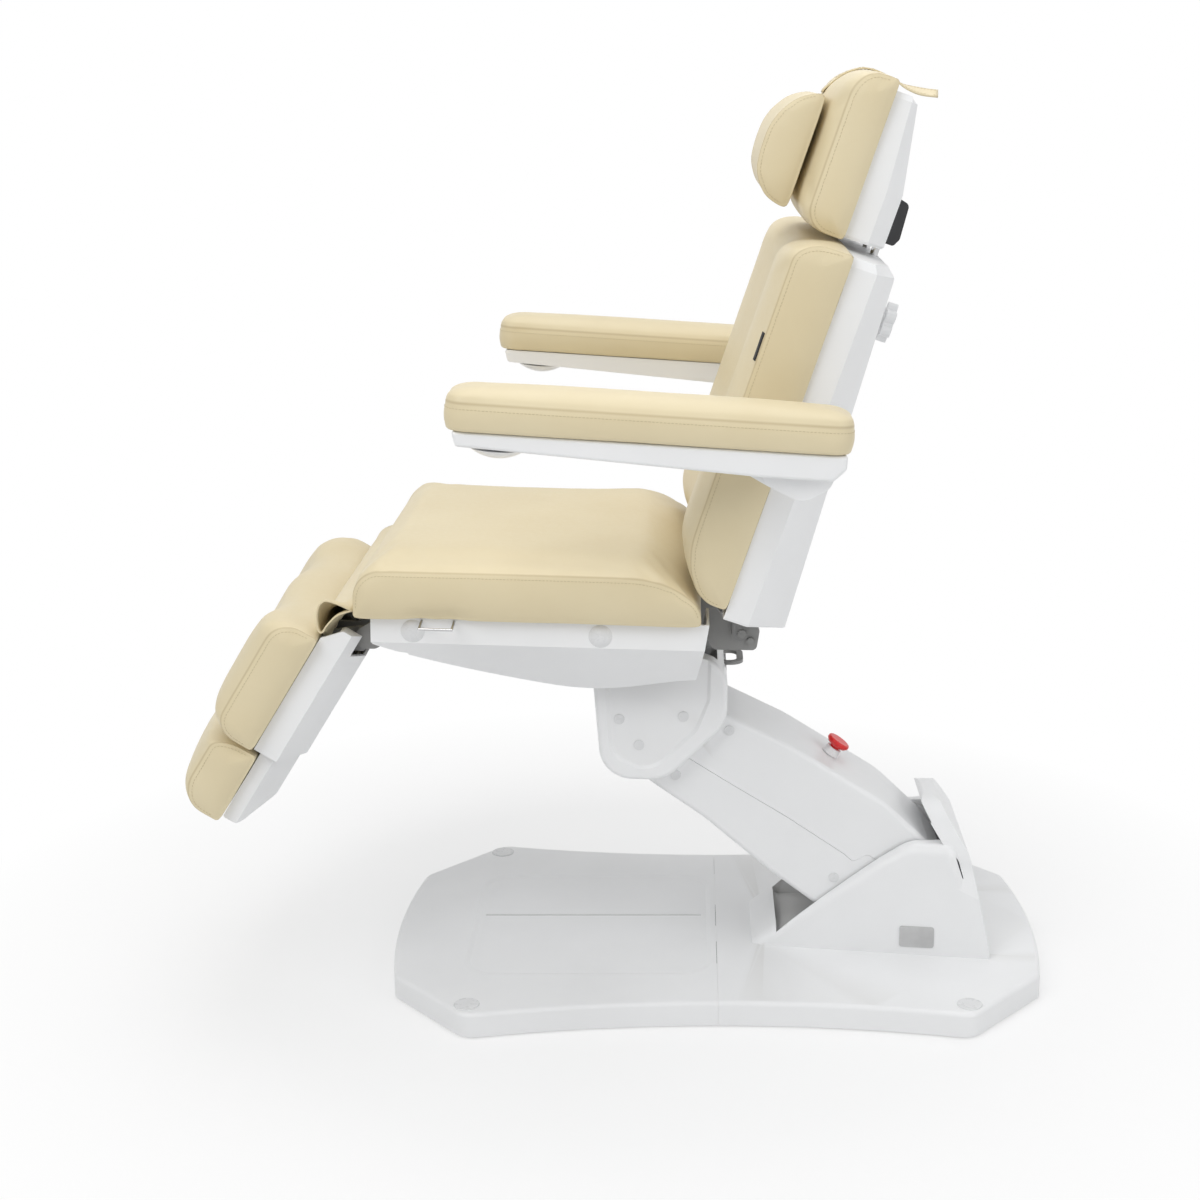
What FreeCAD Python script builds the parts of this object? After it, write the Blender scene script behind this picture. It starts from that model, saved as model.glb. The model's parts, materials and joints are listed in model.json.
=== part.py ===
import FreeCAD, Part
import math
import os

# Electric procedure chair. Millimetres, +Z up, the patient faces -X.
# Sizes below are written about the middle of the floor base. Every piece is then moved along X and down,
# so that the origin lies on the floor under the middle of the whole chair.

V = FreeCAD.Vector
ORIGIN_SHIFT = 141.5
FLOOR_LEVEL = 9.0

# Shared fits
WALL = 4.0
COVER_GAP = 0.6
SOFT_GAP = 0.6
RUNNING = 0.05
SIDE_PLAY = 1.0

# Floor base
BASE_LENGTH = 1030.0
BASE_END_BOW = 18.0
BASE_END_HALF = 190.0
BASE_CORNER_RUN = 120.0
BASE_HALF_WIDTH = 320.0
BASE_WAIST_HALF = 280.0
BASE_UNDERSIDE = 12.0
BASE_DECK = 50.0
BASE_CORNER_RADIUS = 32.0
BASE_TOP_RADIUS = 7.0
DECK_RECESS_LENGTH = 385.0
DECK_RECESS_HALF = 188.0
DECK_RECESS_DEPTH = 2.0
DECK_RECESS_MARGIN = 9.0
DECK_RECESS_SLOPE = 7.0
DECK_GROOVE_WIDTH = 5.0
DECK_GROOVE_Y = 30.0
DECK_GROOVE_INSET = 14.0
FOOT_X = 375.0
FOOT_Y = 286.0
FOOT_CAP_RADIUS = 19.0
FOOT_CAP_PROUD = 1.5
FOOT_PAD_RADIUS = 18.0
FOOT_STUD_RADIUS = 6.0
BEAM_BOTTOM = 16.0
BEAM_HEIGHT = 26.0
BEAM_WIDTH = 36.0
SPINE_HALF = 70.0

# Tower that stands on the rear half of the base
TOWER_NOSE_X = 57.0
TOWER_TAIL_X = 433.0
TOWER_NOSE_HALF = 84.0
TOWER_TAIL_HALF = 138.0
TOWER_LEAN = 14.0
TOWER_SHOULDER_Z = 229.0
TOWER_HOOP_Z = 286.0
TOWER_HOOP_HALF = 113.0
TOWER_HOOP_ROUND = 92.0
TOWER_EDGE_RADIUS = 18.0
TOWER_SLOT_HALF = 86.0
PLATE_AT = (314.0, 80.0)
PLATE_LENGTH = 54.0
PLATE_HEIGHT = 34.0
PLATE_THICKNESS = 1.6

# Lift arm pivots, as (x, z)
LOWER_PIVOT = (305.0, 140.0)
UPPER_PIVOT = (-80.0, 405.0)
PIVOT_RADIUS = 14.0
LINK_OFFSET = 50.0
LINK_RADIUS = 8.0
LINK_PIN_RADIUS = 6.0
LINK_EYE_RADIUS = 11.0
POST_REACH = 61.0
POST_INNER = 20.0
POST_PLATE = 9.0
ARM_PLATE_INNER = 36.0
ARM_PLATE = 8.0
ARM_PLATE_HALF_DEPTH = 28.0
ARM_HALF_WIDTH = 82.0
ARM_TOP_RADIUS = 9.0
ARM_COVER_END = 412.0
SCREW_CAP_RADIUS = 8.0
SCREW_CAP_HEIGHT = 3.0
ESTOP_ALONG = 217.0
ESTOP_HEAD_RADIUS = 19.0
ESTOP_STEM_RADIUS = 8.0
ESTOP_TRAVEL = 4.0

# Lift actuator: foot on the base as (x, z), eye on the arm as (along, off)
LIFT_FOOT = (250.0, 88.0)
LIFT_EYE = (325.0, 10.0)
LIFT_EYE_PLAY = 8.0
ACTUATOR_RADIUS = 18.0
ROD_RADIUS = 9.0
ROD_PIN_RADIUS = 5.0
ROD_EYE_WALL = 6.0

# Head on top of the arm
HEAD_CENTRE_X = -87.0
HEAD_COVER_INNER = 85.6
HEAD_COVER_OUTER = 115.0
HEAD_TOP = 532.0
HEAD_COVER_FRONT = 520.0
HEAD_COVER_REAR = 542.0
HEAD_EDGE_RADIUS = 8.0
HEAD_PLATE = 12.0
HEAD_DISC_RADIUS = 84.0
HEAD_POCKET_DEPTH = 3.0
HEAD_POCKET_SLOPE = 5.0
TURN_GAP = 0.5
TURN_PLATE = 12.0
TURN_SPIGOT_RADIUS = 19.0
LEVER_THICKNESS = 5.0
LEVER_HALF_WIDTH = 36.0
LEVER_REACH = 128.0
LEVER_LOOP_LENGTH = 50.0
LEVER_TONGUE_HALF = 12.0
LEVER_PIN_RADIUS = 5.0
LEVER_DROP = 13.5

# Seat. Its frame has its zero at the rear lower edge of the cushion and runs forward.
SEAT_ZERO = (-16.0, 632.0)
SEAT_SLOPE = 1.7
SHELL_LENGTH = 480.0
SHELL_HALF = 262.0
SHELL_SKIRT = 39.0
SHELL_KEEL_HALF = SHELL_HALF - 82.0
SHELL_REAR = -2.0
SHELL_REAR_RUN = 18.0
SEAT_REAR = 9.0
SEAT_LENGTH = SHELL_LENGTH + 23.0
SEAT_HALF = SHELL_HALF + 30.0
SEAT_SEAM = 77.0
SEAT_CROWN = 90.0
SEAT_FRONT_ROUND = 42.0
SEAT_REAR_ROUND = 110.0
SEAT_NOSE = 0.12
SHELL_DEPTH = 127.0
SHELL_OPENING_RADIUS = 165.0
RAIL_HALF = SHELL_HALF - 36.0
RAIL_SIZE = 26.0
STRIP_THICKNESS = 5.0
LEG_LUG = 8.0
LEG_LUG_INNER = RAIL_HALF - RAIL_SIZE / 2 - LEG_LUG - 0.05
TILT_PIVOT = (-40.0, 575.0)
TILT_PIN_RADIUS = 8.0
TILT_EAR_INNER = 44.0
TILT_EAR = 8.0
TILT_CRANK = 42.0
ACTUATOR_Y = SHELL_HALF - 112.0
DOME_RADIUS = 17.0
DOME_HEIGHT = 5.0
DOME_PLACES = (SHELL_LENGTH - 60.0, 153.0)
LOOP_WIRE_RADIUS = 2.0
LOOP_LENGTH = 46.0
LOOP_REACH = 30.0
LOOP_MIDDLE = SHELL_LENGTH - 96.0

# Back. Its frame has its zero on the hinge and runs up the back.
BACK_PIVOT = (36.0, 577.0)
BACK_ANGLE = 71.0
BACK_PIN_RADIUS = 6.0
BRACKET_INNER = SHELL_HALF - 160.0
BRACKET_PLATE = 8.0
BACK_SHELL_FOOT = 50.0
BACK_SHELL_TOP = 587.0
BACK_FACE = 50.0
BACK_SHELL_HALF = SHELL_HALF
BACK_SHELL_REAR_HALF = BACK_SHELL_HALF - 57.0
BACK_SHELL_CREASE = 13.0
BACK_REAR_FOOT = -45.0
BACK_REAR_TOP = -18.0
BACK_CUSHION_FOOT = 64.0
BACK_FOOT_ROUND = 100.0
BACK_NOSE = 0.2
BACK_CUSHION_TOP = 590.0
BACK_CUSHION_HALF = SEAT_HALF - 8.0
BACK_SEAM = 136.0
BACK_CREST = 143.0
BACK_DISH = 127.0
BACK_CRANK = 40.0
BACK_TUBE_HALF = BACK_SHELL_REAR_HALF - 45.0
BACK_TUBE = 24.0

# Headrest, in the frame of the back
HEADREST_FOOT = 602.0
HEADREST_TOP = 812.0
HEADREST_FACE = 61.0
HEADREST_SHELL_HALF = 152.0
HEADREST_CUSHION_FOOT = 597.0
HEADREST_CUSHION_TOP = 828.0
HEADREST_HALF = 175.0
HEADREST_SEAM = 128.0
HEADREST_CROWN = 146.0
POST_RADIUS = 6.0
POST_HALF_SPACING = 60.0
POST_OFF = 3.0
POST_FOOT = 390.0
HEAD_HINGE = (645.0, 12.0)
HEAD_HINGE_RADIUS = 7.0
CLAMP_ALONG = 497.0
CLAMP_HALF_HEIGHT = 24.0
KNOB_RADIUS = 30.0
KNOB_THICKNESS = 15.0
KNOB_STEM_RADIUS = 12.0
KNOB_STEM_LENGTH = 28.0
KNOB_LOBES = 6
HEAD_LEVER_FOOT = 606.0
HEAD_LEVER_LENGTH = 70.0
HEAD_LEVER_DEPTH = 26.0
HEAD_LEVER_GAP = 3.0
HEAD_LEVER_HALF = 14.0
PILLOW_FOOT = 612.0
PILLOW_TOP = 776.0
PILLOW_DEPTH = 66.0
PILLOW_HALF = 140.0
STRAP_HALF = 14.0
STRAP_THICKNESS = 3.0

# Armrests. Their frame has its zero on the arm's pivot and runs forward.
ARMREST_ALONG_BACK = 315.0
ARMREST_OFF_BACK = 30.0
ARMREST_SLOPE = 3.7
ARMREST_INNER = BACK_SHELL_HALF + 61.0
ARMREST_WIDTH = 105.0
ARMREST_TAIL = -63.0
ARMREST_NOSE = 480.0
PAD_LOW = 25.0
PAD_SEAM = 63.0
PAD_TOP = 84.0
TRAY_INSET = 10.0
TRAY_FRONT = 20.0
TRAY_REAR = 38.0
BOSS_RADIUS = 40.0
ARM_SHAFT_RADIUS = 14.0
ARM_CAP_RADIUS = 39.0
ARM_CAP_HEIGHT = 14.0
ARM_CAP_ALONG = 407.0

# Legrest. Its frame has its zero on the hinge and runs down towards the feet.
LEG_PIVOT = (SEAT_ZERO[0] - SHELL_LENGTH - 16.0, 596.0)
LEG_ANGLE = 58.0
LEG_PIN_RADIUS = 8.0
LEG_SHELL_END = 219.0
LEG_SHELL_HALF = SHELL_HALF - 12.0
LEG_KEEL_HALF = LEG_SHELL_HALF - 60.0
LEG_FACE = 57.0
LEG_CREASE = 20.0
LEG_REAR = -12.0
LEG_CUSHION_START = 18.0
LEG_CUSHION_END = 218.0
LEG_HALF = SEAT_HALF - 14.0
LEG_SEAM = 128.0
LEG_CREST = 146.0
LEG_CHANNEL = 133.0
LEG_RIDGE = 142.0
LEG_CRANK = 24.0
LEG_CRANK_LEAN = 19.0

# Footrest, in the frame of the legrest
FOOT_SHELL_START = 118.0
FOOT_SHELL_END = 342.0
FOOT_SHELL_HALF = LEG_SHELL_HALF - 14.0
FOOT_KEEL_HALF = LEG_KEEL_HALF - 10.0
FOOT_FACE = 46.0
FOOT_CUSHION_START = 226.0
FOOT_CUSHION_END = 347.0
FOOT_HALF = LEG_HALF - 14.0
FOOT_SEAM = 120.0
FOOT_CROWN = 139.0
FOOT_RAIL_RADIUS = 8.0
FOOT_RAIL_HALF = 120.0
FOOT_RAIL_OFF = 20.0


class Side:
    """Side-view frame: u runs along a member, w stands off it, y goes across the chair."""

    def __init__(self, x, z, angle, flip=False):
        turn = math.radians(angle)
        sign = -1.0 if flip else 1.0
        self.zero = V(x, 0, z)
        self.along = V(math.cos(turn), 0, math.sin(turn))
        self.off = V(-math.sin(turn) * sign, 0, math.cos(turn) * sign)

    def at(self, u, w, y=0.0):
        return self.zero + self.along * u + self.off * w + V(0, y, 0)


def slope_of(start, end):
    return math.degrees(math.atan2(end[1] - start[1], end[0] - start[0]))


WORLD = Side(0, 0, 0)
ARM = Side(*LOWER_PIVOT, slope_of(LOWER_PIVOT, UPPER_PIVOT), flip=True)
ARM_LENGTH = math.dist(LOWER_PIVOT, UPPER_PIVOT)
SEAT = Side(*SEAT_ZERO, 180 - SEAT_SLOPE, flip=True)
BACK = Side(*BACK_PIVOT, BACK_ANGLE)
LEG = Side(*LEG_PIVOT, 180 + LEG_ANGLE, flip=True)
ARMREST_PIVOT = BACK.at(ARMREST_ALONG_BACK, ARMREST_OFF_BACK)
REST = Side(ARMREST_PIVOT.x, ARMREST_PIVOT.z, 180 - ARMREST_SLOPE, flip=True)


def rounded_wire(points, place):
    """Closed wire through (a, b) or (a, b, corner radius) points, placed in space by a function."""
    flat = [V(p[0], p[1], 0) for p in points]
    radii = [p[2] if len(p) > 2 else 0.0 for p in points]
    starts, middles, ends = [], [], []
    for i, corner in enumerate(flat):
        to_last = (flat[i - 1] - corner).normalize()
        to_next = (flat[(i + 1) % len(flat)] - corner).normalize()
        half = to_last.getAngle(to_next) / 2
        run = radii[i] / math.tan(half)
        middle_line = (to_last + to_next).normalize()
        starts.append(corner + to_last * run)
        ends.append(corner + to_next * run)
        middles.append(corner + middle_line * (radii[i] / math.sin(half) - radii[i]))
    edges = []
    for i in range(len(flat)):
        if ends[i - 1].distanceToPoint(starts[i]) > 1e-4:
            edges.append(Part.makeLine(place(ends[i - 1]), place(starts[i])))
        if radii[i] > 0:
            edges.append(Part.Arc(place(starts[i]), place(middles[i]), place(ends[i])).toShape())
    return Part.Wire(edges)


def side_prism(side, points, y_from, y_to):
    """Outline drawn in a side-view frame and extruded across the chair."""
    wire = rounded_wire(points, lambda p: side.at(p.x, p.y, y_from))
    return Part.Face(wire).extrude(V(0, y_to - y_from, 0))


def plan_prism(points, z_from, z_to):
    """Outline drawn in plan and extruded upwards."""
    wire = rounded_wire(points, lambda p: V(p.x, p.y, z_from))
    return Part.Face(wire).extrude(V(0, 0, z_to - z_from))


def bar(start, end, radius):
    """Round bar between two points."""
    return Part.makeCylinder(radius, start.distanceToPoint(end), start, end - start)


def cross_bar(side, u, w, radius, y_from, y_to):
    """Round bar across the chair."""
    return bar(side.at(u, w, y_from), side.at(u, w, y_to), radius)


def box(x_from, x_to, y_from, y_to, z_from, z_to):
    return Part.makeBox(x_to - x_from, y_to - y_from, z_to - z_from, V(x_from, y_from, z_from))


def fuse(*shapes):
    return shapes[0].multiFuse(list(shapes[1:])).removeSplitter()


def mirrored(shape):
    """The same piece on the other side of the chair."""
    return shape.mirror(V(0, 0, 0), V(0, 1, 0))


def both(shape):
    return [shape, mirrored(shape)]


def loft(wires, ruled):
    """Solid through closed wires, turned the right way out."""
    solid = Part.makeLoft(wires, True, ruled)
    return solid if solid.Volume > 0 else Part.makeLoft(wires[::-1], True, ruled)


def section(side, u, points):
    """Closed polygon across the chair at one place along a member."""
    corners = [side.at(u, w, y) for y, w in points]
    return Part.makePolygon(corners + corners[:1])


def trough(side, stations, skirt_top, ruled):
    """Solid with a flat top, upright skirts and sides that slope in to a keel."""
    wires = []
    for u, half, crease, keel_half, keel in stations:
        points = [(-half, skirt_top), (-half, crease), (-keel_half, keel)]
        points += [(-y, w) for y, w in reversed(points)]
        wires.append(section(side, u, points))
    return loft(wires, ruled)


def inset_stations(stations, wall):
    """The same trough one wall further in on every side."""
    first, last = stations[0][0], stations[-1][0]
    step = wall if last > first else -wall
    inner = []
    for u, half, crease, keel_half, keel in stations:
        u_in = min(max(u, min(first, last) + wall), max(first, last) - wall)
        if inner and abs(inner[-1][0] - u_in) < abs(step) / 2:
            inner.pop()
        inner.append((u_in, half - wall, crease + wall / 2, keel_half - wall / 2, keel + wall))
    return inner


def pad_wire(side, u, half, low, top, rise, tuck):
    """Cross-section of a cushion: flat base, bulging sides and a top made of arcs."""
    lifted = [(y, low + (w - low) * rise) for y, w in top]
    edge_y, edge_w = lifted[0]
    points = [(half - tuck, low), (half, (low + edge_w) / 2), (edge_y, edge_w)]
    points += lifted[1:]
    points += [(-half, (low + edge_w) / 2), (-half + tuck, low)]
    place = [side.at(u, w, y) for y, w in points]
    edges = [Part.makeLine(place[-1], place[0])]
    for i in range(0, len(place) - 2, 2):
        edges.append(Part.Arc(place[i], place[i + 1], place[i + 2]).toShape())
    return Part.Wire(edges)


def cushion(side, start, end, half, low, top_of, start_round, end_round, draw=4.0, tuck=12.0, nose=0.42):
    """Crowned cushion whose ends roll over and whose sides draw in between the corners."""
    places = []
    for share in (0.0, 0.1, 0.32, 0.66):
        curve = math.sqrt(1 - (1 - share) ** 2)
        places.append((start + share * start_round, nose + (1 - nose) * curve))
        places.append((end - share * end_round, 0.42 + 0.58 * curve))
    for share in (0.0, 0.25, 0.5, 0.75, 1.0):
        places.append((start + start_round + share * (end - start - start_round - end_round), 1.0))
    wires = []
    for u, rise in sorted(places):
        along = (u - start) / (end - start)
        pinch = draw * math.sin(math.pi * along) + tuck * (1 - rise)
        reach = half - pinch
        wires.append(pad_wire(side, u, reach, low, top_of(reach), rise, tuck))
    return loft(wires, False)


def screw_cap(at, outward):
    """Low domed cap over a screw head."""
    rim = bar(at, at + outward * (SCREW_CAP_HEIGHT / 2), SCREW_CAP_RADIUS)
    rise = SCREW_CAP_HEIGHT / 2
    crown_radius = (SCREW_CAP_RADIUS ** 2 + rise ** 2) / (2 * rise)
    ball = Part.makeSphere(crown_radius, at + outward * (SCREW_CAP_HEIGHT - crown_radius))
    return fuse(rim, bar(at + outward * rise, at + outward * (2 * rise), SCREW_CAP_RADIUS).common(ball))


def save(node, *solids):
    shape = solids[0] if len(solids) == 1 else Part.makeCompound(list(solids))
    moved = shape.copy()
    moved.translate(V(ORIGIN_SHIFT, 0, -FLOOR_LEVEL))
    moved.exportStep("parts/%s.step" % node)


# Floor base

def base_block(inset, z_from, z_to):
    """Plan of the base: bowed ends, cut corners and waisted sides."""
    x_apex = BASE_LENGTH / 2 - inset
    x_end = x_apex - BASE_END_BOW
    x_side = x_end - BASE_CORNER_RUN
    y_end = BASE_END_HALF - inset / 2
    y_side = BASE_HALF_WIDTH - inset
    y_waist = BASE_WAIST_HALF - inset
    edges = []
    for turn in (1, -1):
        edges.append(Part.Arc(V(-turn * x_end, -turn * y_end, z_from), V(-turn * x_apex, 0, z_from),
                              V(-turn * x_end, turn * y_end, z_from)).toShape())
        edges.append(Part.makeLine(V(-turn * x_end, turn * y_end, z_from),
                                   V(-turn * x_side, turn * y_side, z_from)))
        edges.append(Part.Arc(V(-turn * x_side, turn * y_side, z_from), V(0, turn * y_waist, z_from),
                              V(turn * x_side, turn * y_side, z_from)).toShape())
        edges.append(Part.makeLine(V(turn * x_side, turn * y_side, z_from),
                                   V(turn * x_end, turn * y_end, z_from)))
    block = Part.Face(Part.Wire(edges)).extrude(V(0, 0, z_to - z_from))
    uprights = [e for e in block.Edges if abs(e.Vertexes[0].Z - e.Vertexes[1].Z) > (z_to - z_from) / 2]
    return block.makeFillet(BASE_CORNER_RADIUS - inset, uprights)


def base_shell():
    outer = base_block(0, BASE_UNDERSIDE, BASE_DECK)
    rim = [e for e in outer.Edges if min(v.Z for v in e.Vertexes) > BASE_DECK - 0.01]
    outer = outer.makeFillet(BASE_TOP_RADIUS, rim)
    shell = outer.cut(base_block(WALL, BASE_UNDERSIDE - 1, BASE_DECK - WALL))
    for x, y in foot_places():
        hole_radius = FOOT_CAP_RADIUS + RUNNING
        shell = shell.cut(Part.makeCylinder(hole_radius, 2 * WALL, V(x, y, BASE_DECK - 1.5 * WALL)))
    return shell


def foot_places():
    return [(x, y) for x in (-FOOT_X, FOOT_X) for y in (-FOOT_Y, FOOT_Y)]


def base_front_cover(shell):
    """Front half of the base cover, with its sunk tread and drip groove."""
    half = shell.common(box(-BASE_LENGTH, -COVER_GAP / 2, -BASE_LENGTH, BASE_LENGTH, 0, BASE_DECK + WALL))
    rear_edge = -DECK_RECESS_MARGIN
    front_edge = rear_edge - DECK_RECESS_LENGTH
    floor = BASE_DECK - DECK_RECESS_DEPTH
    corner = DECK_RECESS_HALF / 4
    wires = []
    for step in (0, 2):
        grow = step * DECK_RECESS_SLOPE - DECK_RECESS_SLOPE
        half_width = DECK_RECESS_HALF + grow
        outline = [(front_edge - grow, -half_width, corner), (rear_edge + grow, -half_width, corner),
                   (rear_edge + grow, half_width, corner), (front_edge - grow, half_width, corner)]
        level = floor + step * DECK_RECESS_DEPTH
        wires.append(rounded_wire(outline, lambda p: V(p.x, p.y, level)))
    tread = loft(wires, True)
    side = DECK_GROOVE_WIDTH / 2
    groove = plan_prism([(front_edge + DECK_GROOVE_INSET, DECK_GROOVE_Y - side, side * 0.9),
                         (rear_edge - DECK_GROOVE_INSET, DECK_GROOVE_Y - side, side * 0.9),
                         (rear_edge - DECK_GROOVE_INSET, DECK_GROOVE_Y + side, side * 0.9),
                         (front_edge + DECK_GROOVE_INSET, DECK_GROOVE_Y + side, side * 0.9)],
                        floor - 1, BASE_DECK + WALL)
    return half.cut(tread).cut(groove)


def tower_side(inset):
    """Side outline of the tower's cheeks, from the nose over the shoulder to the tail."""
    top = TOWER_SHOULDER_Z - inset
    return [(TOWER_NOSE_X + 2 * inset, BASE_DECK - WALL), (TOWER_NOSE_X + 2 * inset, BASE_DECK + 4),
            (255.0, top - 29, 60), (300.0, top, 60), (372.0, top + 2, 26),
            (TOWER_TAIL_X - inset - 6, BASE_DECK + 12), (TOWER_TAIL_X - inset, BASE_DECK - WALL)]


def tower_taper(inset):
    """Wedge that gives the tower its plan taper and the lean of its side faces."""
    wires = []
    for z, lean in ((BASE_DECK - WALL, 0.0), (TOWER_HOOP_Z + WALL, TOWER_LEAN)):
        nose = TOWER_NOSE_HALF - lean - inset
        tail = TOWER_TAIL_HALF - lean - inset
        corners = [V(TOWER_NOSE_X, -nose, z), V(TOWER_TAIL_X, -tail, z),
                   V(TOWER_TAIL_X, tail, z), V(TOWER_NOSE_X, nose, z)]
        wires.append(Part.makePolygon(corners + corners[:1]))
    return loft(wires, True)


def tower_rear_wall():
    """Raised hoop behind the arm, drawn from the side and cut to an arch."""
    wall = side_prism(WORLD, [(316.0, TOWER_HOOP_Z, 8), (350.0, TOWER_HOOP_Z, 14),
                              (394.0, 214.0, 60), (TOWER_TAIL_X - 6, BASE_DECK + 12),
                              (TOWER_TAIL_X - 6, BASE_DECK - WALL), (400.0, BASE_DECK - WALL),
                              (364.0, 212.0, 40)], -TOWER_TAIL_HALF, TOWER_TAIL_HALF)
    round_foot = TOWER_HOOP_ROUND / 3
    top_half = TOWER_HOOP_HALF - 7
    arch = [(-TOWER_TAIL_HALF, 0), (-TOWER_TAIL_HALF, 120.0), (-TOWER_HOOP_HALF, 190.0, round_foot),
            (-top_half, TOWER_HOOP_Z, TOWER_HOOP_ROUND), (top_half, TOWER_HOOP_Z, TOWER_HOOP_ROUND),
            (TOWER_HOOP_HALF, 190.0, round_foot), (TOWER_TAIL_HALF, 120.0), (TOWER_TAIL_HALF, 0)]
    wire = rounded_wire(arch, lambda p: V(TOWER_NOSE_X, p.x, p.y))
    return wall.common(Part.Face(wire).extrude(V(BASE_LENGTH, 0, 0))).common(tower_taper(0))


def base_rear_cover(shell):
    """Rear half of the base cover with the hollow tower moulded on it."""
    half = shell.common(box(COVER_GAP / 2, BASE_LENGTH, -BASE_LENGTH, BASE_LENGTH, 0, BASE_DECK + WALL))
    wide = TOWER_TAIL_HALF + 1
    cheeks = side_prism(WORLD, tower_side(0), -wide, wide).common(tower_taper(0))
    cheeks = cheeks.makeFillet(TOWER_EDGE_RADIUS, [e for e in cheeks.Edges if is_cheek_edge(e)])
    inner = side_prism(WORLD, tower_side(2.5 * WALL), -wide, wide).common(tower_taper(1.5 * WALL))
    core = TOWER_SLOT_HALF + WALL
    hollow = inner.cut(box(0, BASE_LENGTH, -core, core, 0, BASE_LENGTH))
    slot = side_prism(WORLD, [(95.0, 62.0, 12), (399.0, 62.0), (364.0, 211.0, 40),
                              (315.0, TOWER_HOOP_Z + 8), (95.0, TOWER_HOOP_Z + 8)],
                      -TOWER_SLOT_HALF, TOWER_SLOT_HALF)
    well = box(226.0, 396.0, -TOWER_SLOT_HALF, TOWER_SLOT_HALF, 0, 70.0)
    body = fuse(half, cheeks, tower_rear_wall())
    return body.cut(hollow).cut(slot).cut(well)


def is_cheek_edge(edge):
    """True for the edges where the tower's side faces meet its sloped top."""
    for share in (0.1, 0.5, 0.9):
        first, last = edge.ParameterRange
        at = edge.valueAt(first + share * (last - first))
        face_at, outward = tower_face(at.x, at.z)
        if abs(abs(at.y) + face_at.y) > 0.05 or at.z < BASE_DECK + 5:
            return False
    return True


def base_frame():
    """Welded steel frame: two cross beams, two spines, a tower plate and the pivot post."""
    top = BEAM_BOTTOM + BEAM_HEIGHT
    beam_half = FOOT_Y + FOOT_STUD_RADIUS + 2
    pieces = []
    for x in (-FOOT_X, FOOT_X):
        pieces.append(box(x - BEAM_WIDTH / 2, x + BEAM_WIDTH / 2, -beam_half, beam_half, BEAM_BOTTOM, top))
    for y in (-SPINE_HALF, SPINE_HALF):
        pieces.append(box(-FOOT_X, FOOT_X, y - BEAM_HEIGHT / 2, y + BEAM_HEIGHT / 2, BEAM_BOTTOM, top))
    x_pin, z_pin = LOWER_PIVOT
    pieces.append(box(LIFT_FOOT[0] - 20, FOOT_X, -SPINE_HALF, SPINE_HALF, BEAM_BOTTOM, top))
    link = ARM.at(0, LINK_OFFSET)
    plate = side_prism(WORLD, [(x_pin - 48, top - 1), (x_pin + 56, top - 1), (x_pin + 40, z_pin - 12, 20),
                               (link.x + 24, link.z - 4, 14), (link.x + 12, link.z + 20, 4),
                               (link.x - 16, link.z + 20, 4), (x_pin - 34, z_pin + 10, 15)],
                       POST_INNER, POST_INNER + POST_PLATE)
    round_top = cross_bar(ARM, 0, 0, POST_REACH, POST_INNER - 1, POST_INNER + POST_PLATE + 1)
    post_foot = box(x_pin - 60, x_pin + 60, POST_INNER - 1, POST_INNER + POST_PLATE + 1, top - 2,
                    z_pin - 20)
    plate = plate.common(fuse(round_top, post_foot))
    foot_lug = side_prism(WORLD, [(LIFT_FOOT[0] - 16, top - 1), (LIFT_FOOT[0] + 16, top - 1),
                                  (LIFT_FOOT[0] + 16, LIFT_FOOT[1] + 14, 12),
                                  (LIFT_FOOT[0] - 16, LIFT_FOOT[1] + 14, 12)],
                          POST_INNER, POST_INNER + POST_PLATE)
    pieces += both(plate) + both(foot_lug)
    frame = fuse(*pieces)
    reach = SPINE_HALF
    frame = frame.cut(cross_bar(ARM, 0, 0, PIVOT_RADIUS + RUNNING, -reach, reach))
    frame = frame.cut(cross_bar(ARM, 0, LINK_OFFSET, LINK_PIN_RADIUS + RUNNING, -reach, reach))
    frame = frame.cut(cross_bar(WORLD, *LIFT_FOOT, LINK_PIN_RADIUS + RUNNING, -reach, reach))
    for x, y in foot_places():
        frame = frame.cut(Part.makeCylinder(FOOT_STUD_RADIUS + RUNNING, BEAM_HEIGHT * 2, V(x, y, 0)))
    return frame


def foot_caps():
    low = BASE_DECK - WALL
    height = WALL + FOOT_CAP_PROUD
    caps = []
    for x, y in foot_places():
        cap = Part.makeCylinder(FOOT_CAP_RADIUS, height, V(x, y, low))
        rim = [e for e in cap.Edges if e.Vertexes[0].Z > BASE_DECK]
        caps.append(cap.makeFillet(FOOT_CAP_PROUD * 0.8, rim[:1]))
    return caps


def levelling_feet():
    feet = []
    for x, y in foot_places():
        pad_top = BEAM_BOTTOM - SIDE_PLAY
        pad = Part.makeCone(FOOT_PAD_RADIUS, FOOT_PAD_RADIUS * 0.9, pad_top - FLOOR_LEVEL,
                            V(x, y, FLOOR_LEVEL))
        stud = Part.makeCylinder(FOOT_STUD_RADIUS, BEAM_BOTTOM + BEAM_HEIGHT - pad_top, V(x, y, pad_top))
        feet.append(fuse(pad, stud))
    return feet


def tower_face(x, z):
    """Point on the near side face of the tower, and the way that face looks."""
    share = (x - TOWER_NOSE_X) / (TOWER_TAIL_X - TOWER_NOSE_X)
    foot_half = TOWER_NOSE_HALF + share * (TOWER_TAIL_HALF - TOWER_NOSE_HALF)
    height = TOWER_HOOP_Z + WALL - BASE_DECK + WALL
    lean = TOWER_LEAN * (z - BASE_DECK + WALL) / height
    outward = V((TOWER_NOSE_HALF - TOWER_TAIL_HALF) / (TOWER_TAIL_X - TOWER_NOSE_X), -1,
                TOWER_LEAN / height)
    return V(x, -(foot_half - lean), z), outward.normalize()


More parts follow.
